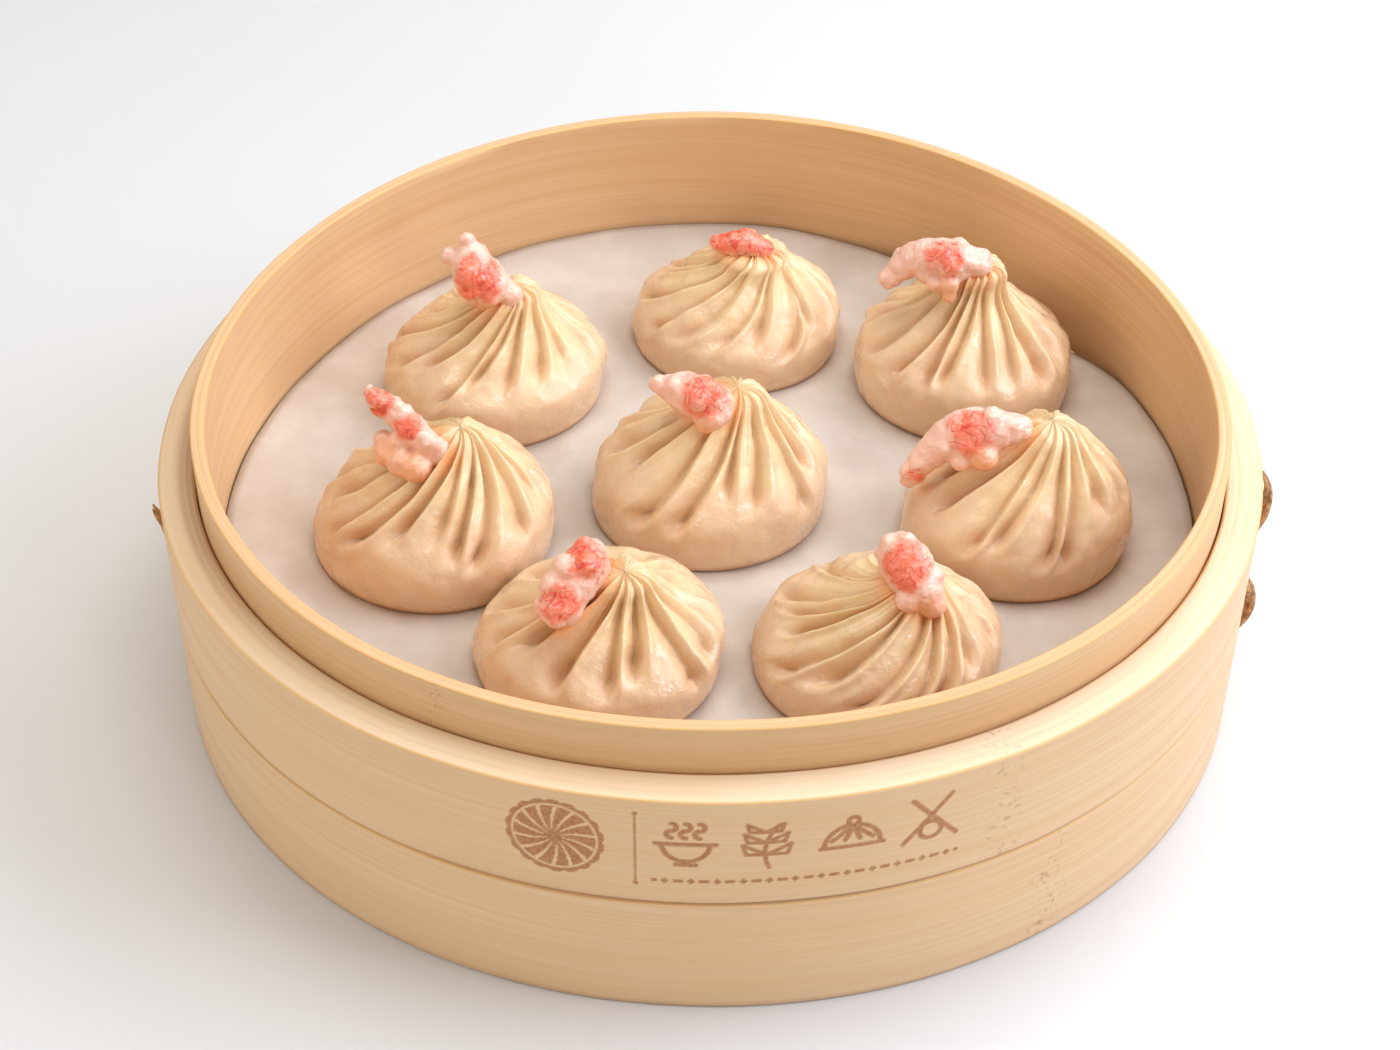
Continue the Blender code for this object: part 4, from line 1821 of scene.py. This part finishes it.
def food() -> list[tuple[Dumpling, CrabTopping]]:
    """List the eight dumplings, each with its topping.

    Returns:
        Each dumpling with its topping.
    """
    def pair(number: int, centre: tuple[float, float], radius: float,
             height: float, crown: tuple[float, float], folds: int,
             swirl: float, depth: float,
             meat: Sequence[tuple[float, float, float, float]],
             blush: Sequence[tuple[float, float, float, float]],
             knobs: Sequence[tuple[float, float, float, float]] = (),
             amber: Sequence[tuple[float, float, float, float]] = (),
             **more: object) -> tuple[Dumpling, CrabTopping]:
        """One dumpling and its topping, sizes in mm.

        Args:
            number: The dumpling's number.
            centre: Middle of its foot, from the hoops' axis.
            radius: Radius of the belly.
            height: Height of the crown.
            crown: How far the crown leans, right and back.
            folds: Number of pleats.
            swirl: Their turn, degrees.
            depth: Their depth.
            meat: Stations of the meat's middle line.
            blush: Places where the meat is red.
            knobs: Lumps beside the line.
            amber: Places that are orange.
            more: Other fields of the dumpling.

        Returns:
            The dumpling and its topping.
        """
        at = (centre[0] * MM, centre[1] * MM + CENTRE_Y)
        dough = Dumpling(number, at, radius * MM, height * MM,
                         (crown[0] * MM, crown[1] * MM), folds, swirl,
                         depth * MM, **more)
        return dough, CrabTopping(number, at, meat, blush, knobs,
                                  amber)

    return [
        pair(1, (-49.0, 38.4), 24.8, 26.3, (5.3, 1.0), 17, 55.0, 2.5,
             ((3.1, -2, 26.8, 3.6), (-1.4, -1.5, 29.4, 6.1),
              (-3.2, 0.0, 33.2, 4.4)), ((-1.4, -5, 31.2, 6.2),),
             ((-3.9, 1.0, 37.4, 1.9), (-7.9, 0.5, 33.7, 2.1),
              (5.3, -2.5, 25.6, 3.0)), ((1.1, -4.0, 24.0, 3.5),),
             slim=0.2, broad=0.6),
        pair(2, (5.6, 59.4), 24.0, 22.8, (4.0, 1.0), 16, 60.0, 2.2,
             ((-4.4, 0.5, 23.8, 2.1), (1.2, 0, 24.4, 3.4),
              (6.2, 0, 22.8, 2.5)), ((1, -1, 24, 9.0),), slim=0.14,
             broad=0.8),
        pair(3, (56.2, 41.3), 24.0, 31.8, (1.5, 1.5), 17, 30.0, 2.9,
             ((1.5, 0, 31.5, 3.8), (-6.5, -0.9, 33.6, 4.9),
              (-12.5, 0.3, 32.4, 4.1), (-16.9, 0, 28.2, 2.8)),
             ((-6, -4, 35.5, 5.0),),
             ((-5.0, -4.5, 29.0, 2.4), (-7.8, -4.0, 29.0, 2.0),
              (-4.8, -5.5, 26.6, 1.6)), ((-5.5, -5.5, 27.5, 3.6),),
             slim=0.34, broad=1.0),
        pair(4, (-57.1, -15.6), 24.4, 29.0, (7.0, 0.5), 18, 40.0, 2.7,
             ((3.3, -4.0, 25.2, 2.8), (0.1, -3, 27.7, 3.2),
              (-3.1, -0.6, 30.0, 3.3), (-7.8, 1.5, 33.4, 2.8),
              (-10.7, 2.0, 35.8, 1.7)),
             ((-2.7, -2.6, 31, 3.4), (-8.9, 0.5, 35, 3.8)),
             ((-1.3, -6.0, 23.2, 3.4), (-4.5, -4.6, 23.6, 3.3),
              (-7.5, -2.6, 24.2, 3.0), (-8.5, -1.2, 26.6, 2.0),
              (-5.0, -2.0, 26.6, 2.8)),
             ((-1.9, -6.0, 22.5, 5.5), (-6.9, -3.0, 24.5, 4.5)),
             slim=0.14, broad=0.2),
        pair(5, (-0.8, -2.0), 24.4, 28.8, (6.2, 1.6), 16, 25.0, 3.2,
             ((2.0, -2.5, 27.3, 4.2), (-1.6, -2.4, 28.6, 5.3),
              (-6.4, -0.4, 29.0, 3.6), (-9.6, 0.3, 30.0, 2.3)),
             ((-0.3, -4.5, 31, 5.6),), ((0.6, -5.0, 25.4, 3.4),),
             ((0.2, -6.0, 24.0, 3.4),), slim=0.14, broad=0.4),
        pair(6, (63.0, -11.5), 23.3, 28.5, (6.0, 1.5), 16, 30.0, 2.9,
             ((-1.0, 0, 26.9, 3.4), (-6.5, -1, 27.4, 4.7),
              (-12.6, -1.2, 26.6, 5.2), (-18.1, -2, 22.8, 3.7),
              (-21.4, -2.5, 18.4, 3.0), (-22.4, -2.5, 15.6, 2.0)),
             ((-11.0, -4, 29, 5.4), (-21, -5, 18.5, 2.6)),
             ((-8.0, -5.0, 23.6, 3.0), (-12.5, -5.0, 22.6, 2.4)),
             ((-8.5, -6.0, 22.5, 4.2),), slim=0.06, broad=0.3),
        pair(7, (-21.5, -51.2), 24.2, 23.9, (5.5, -2.0), 15, 15.0, 3.0,
             ((-0.7, 0.5, 25.4, 3.6), (-2.2, -3.0, 25.4, 5.2),
              (-4.8, -6.6, 23.2, 5.1), (-6.9, -9.4, 20.6, 4.0)),
             ((-1.4, -4, 28, 5.4), (-6.4, -10, 23, 4.6)), slim=0.18,
             broad=0.4),
        pair(8, (32.0, -50.8), 23.8, 22.9, (6.8, -1.5), 17, 70.0, 2.8,
             ((3.4, 2.0, 25.4, 4.0), (5.6, -1.4, 24.9, 5.7),
              (8.4, -4.9, 21.6, 4.5)), ((5, -4, 27.6, 5.6),),
             ((10.2, -6.4, 20.0, 2.8), (5.8, -6.6, 21.2, 2.8)),
             ((8.5, -7.5, 19.6, 4.2),), slim=0.16, broad=0.4),
    ]


@dataclass
class CaneTie:
    """A lashing of split cane that stands on the outside of the bands."""

    name: str
    angle: float
    stations: Sequence[tuple[float, float, float]]   # height, stand-off, half
    width: float
    band_outer: float = 112.0 * MM
    strands: int = 2
    twist: float = 5.0

    def build(self, finish: bpy.types.Material) -> bpy.types.Object:
        """Twist the strands around the tie's line.

        Args:
            finish: The cane's material.

        Returns:
            The lashing.
        """
        out = np.array((math.cos(self.angle), math.sin(self.angle), 0.0))
        side = np.array((-math.sin(self.angle), math.cos(self.angle), 0.0))
        up = np.array((0.0, 0.0, 1.0))
        face = self.band_outer * float(lobe(np.array(self.angle)))
        line = smooth_curve(self.stations, 72) * MM
        rows, columns = len(line), 14
        turn = np.linspace(0.0, math.tau, columns, endpoint=False)
        points, faces = [], []
        for strand in range(self.strands):
            phase = math.tau * strand / self.strands
            run = np.linspace(0.0, self.twist, rows) + phase
            z, stand, half = line[:, 0], line[:, 1], line[:, 2]
            reach = face + stand + 1.05 * half
            middle = out * (reach + 0.45 * half * np.cos(run))[:, None] \
                + side * (self.width * 0.24 * np.sin(run))[:, None] \
                + up * z[:, None]
            middle[:, 1] += CENTRE_Y
            ridge = 1.0 + 0.12 * np.sin(5 * turn)[None, :]
            r_out = (0.62 * half)[:, None] * np.cos(turn) * ridge
            r_side = (self.width * 0.27) * np.sin(turn) * ridge \
                * np.clip(half / half.max(), 0.4, 1.0)[:, None]
            tube = middle[:, None, :] + r_out[..., None] * out \
                + r_side[..., None] * side
            start = strand * rows * columns
            points.append(tube.reshape(-1, 3))
            faces += tube_faces(rows, columns, start)
        return make_piece(self.name, np.concatenate(points), faces, finish)


def ties() -> list[tuple[CaneTie, str]]:
    """List the three lashings.

    Returns:
        Each lashing with the CAD node that it stands for.
    """
    right, left = math.radians(-8.0), math.radians(187.0)
    return [
        (CaneTie("lashing_right_upper", right,
                 ((37.0, 0.0, 0.5), (39.5, 0.7, 0.8), (44.0, 1.1, 1.0),
                  (49.0, 0.9, 0.9), (52.5, 0.0, 0.5)), 3.6 * MM),
         "cane_tie_right_upper"),
        (CaneTie("lashing_right_lower", right,
                 ((10.0, 0.0, 0.5), (13.0, 0.9, 0.9), (17.5, 1.6, 1.1),
                  (22.0, 1.2, 1.0), (26.0, 0.0, 0.5)), 3.6 * MM),
         "cane_tie_right_lower"),
        (CaneTie("lashing_left", left,
                 ((24.0, 0.0, 0.5), (27.0, 0.3, 0.7), (31.0, 0.4, 0.8),
                  (35.0, 0.6, 0.9), (38.0, 2.2, 0.6), (39.5, 2.97, 0.3)),
                 3.2 * MM), "cane_tie_left"),
    ]


# --------------------------------------------------------------------- stage


AIM = (0.0, 0.0, 0.04)         # what every lamp points at


@dataclass(frozen=True)
class Lamp:
    """A soft square lamp that points at the middle of the basket."""

    name: str
    place: tuple[float, float, float]
    size: float
    power: float
    tint: Colour

    def hang(self) -> None:
        """Put the lamp in the scene."""
        light = bpy.data.lights.new(self.name, "AREA")
        light.size = self.size
        light.energy = self.power
        light.color = self.tint
        holder = placed(self.name, light)
        holder.location = self.place
        way = Vector(AIM) - Vector(self.place)
        holder.rotation_euler = way.to_track_quat("-Z", "Y").to_euler()


LAMPS = (
    Lamp("key", (0.75, -0.05, 0.55), 0.6, 6.2, (0.94, 1.05, 1.28)),
    Lamp("right back", (0.5, 0.5, 0.7), 0.6, 3.8, (1.0, 1.0, 1.0)),
    Lamp("left", (-0.75, -0.2, 0.4), 0.6, 2.3, (1.0, 0.95, 0.86)),
    Lamp("top", (0.0, 0.1, 0.9), 0.6, 4.8, (1.0, 1.0, 1.0)),
    Lamp("front", (0.0, -0.9, 0.4), 0.5, 1.5, (1.0, 0.96, 0.90)),
    Lamp("glint", (0.52, -0.85, 0.44), 0.12, 0.8, (1.0, 0.98, 0.94)),
)


@dataclass
class Stage:
    """Table, lights and camera."""

    eye: tuple[float, float, float] = (0.0, -0.40239, 0.35786)
    tilt: float = math.radians(50.283)
    heading: float = math.radians(0.292)
    roll: float = math.radians(0.444)
    lens: float = 62.5
    sensor: float = 36.0
    sky: float = 0.10
    sky_tint: Colour = (1.0, 0.99, 0.97)
    table_reach: float = 3.0

    def lay_table(self) -> None:
        """Put the table under the basket."""
        half = self.table_reach
        top = np.array(((-half, -half, 0.0), (half, -half, 0.0),
                        (half, half, 0.0), (-half, half, 0.0)))
        table = make_piece("table_top", top, [[0, 1, 2, 3]],
                           TableFinish("table").build())

    def light_sky(self) -> None:
        """Give the world a faint even light."""
        world = bpy.data.worlds.new("studio")
        bpy.context.scene.world = world
        world.use_nodes = True
        sky = world.node_tree.nodes["Background"]
        sky.inputs["Color"].default_value = (*self.sky_tint, 1.0)
        sky.inputs["Strength"].default_value = self.sky

    def aim_camera(self) -> None:
        """Place the camera and look through it."""
        scene = bpy.context.scene
        data = bpy.data.cameras.new("camera")
        data.lens = self.lens
        data.sensor_width = self.sensor
        data.clip_start = 0.01
        camera = placed("camera", data)
        turn = Matrix.Rotation(self.heading, 4, "Z") \
            @ Matrix.Rotation(self.tilt, 4, "X") \
            @ Matrix.Rotation(self.roll, 4, "Z")
        camera.matrix_world = Matrix.Translation(self.eye) @ turn
        scene.camera = camera
        scene.view_settings.view_transform = "Standard"

    def build(self) -> None:
        """Set up the table, the lights and the camera."""
        self.lay_table()
        for lamp in LAMPS:
            lamp.hang()
        self.light_sky()
        self.aim_camera()


def main() -> None:
    """Build every piece in order and note the sizes."""
    logging.basicConfig(level=logging.INFO, format="%(name)s %(message)s")
    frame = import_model()
    log.info("%d CAD nodes", len(frame["nodes"]))
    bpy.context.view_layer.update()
    grain_group()
    mottle_group()
    bamboo = BambooFinish("bamboo_band").build()
    wall = BambooFinish("bamboo_wall", pale=srgb(233, 194, 148),
                        deep=srgb(217, 172, 122)).build()
    plain = BambooFinish("bamboo_floor", fine=1600.0, coarse=300.0,
                         along=4.0).build()
    paper = PaperFinish("baking_paper").build()
    dough = DoughFinish("steamed_dough").build()
    crab = CrabFinish("crab_meat").build()
    cane = CaneFinish("cane").build()

    for hoop, node in hoops():
        finish = wall if node == "inner_hoop" else bamboo
        settle(hoop.build(finish), "bamboo", node)
    SlattedFloor().build(plain)
    for node in ("floor_ledge", "floor_bar_1", "floor_bar_2"):
        for slot in frame["nodes"][node].material_slots:
            slot.material = plain
    servings = food()
    settle(PaperLiner().build(paper, [dish for dish, _ in servings]),
           "baking_paper", "paper_liner")
    for dish, meat in servings:
        settle(dish.build(dough, meat), "steamed_dough",
               f"dumpling_{dish.number}")
        settle(meat.build(crab), "crab_meat", f"crab_topping_{dish.number}")
    for tie, node in ties():
        settle(tie.build(cane), "cane", node)
    Stage().build()


if __name__ == "__main__":
    main()
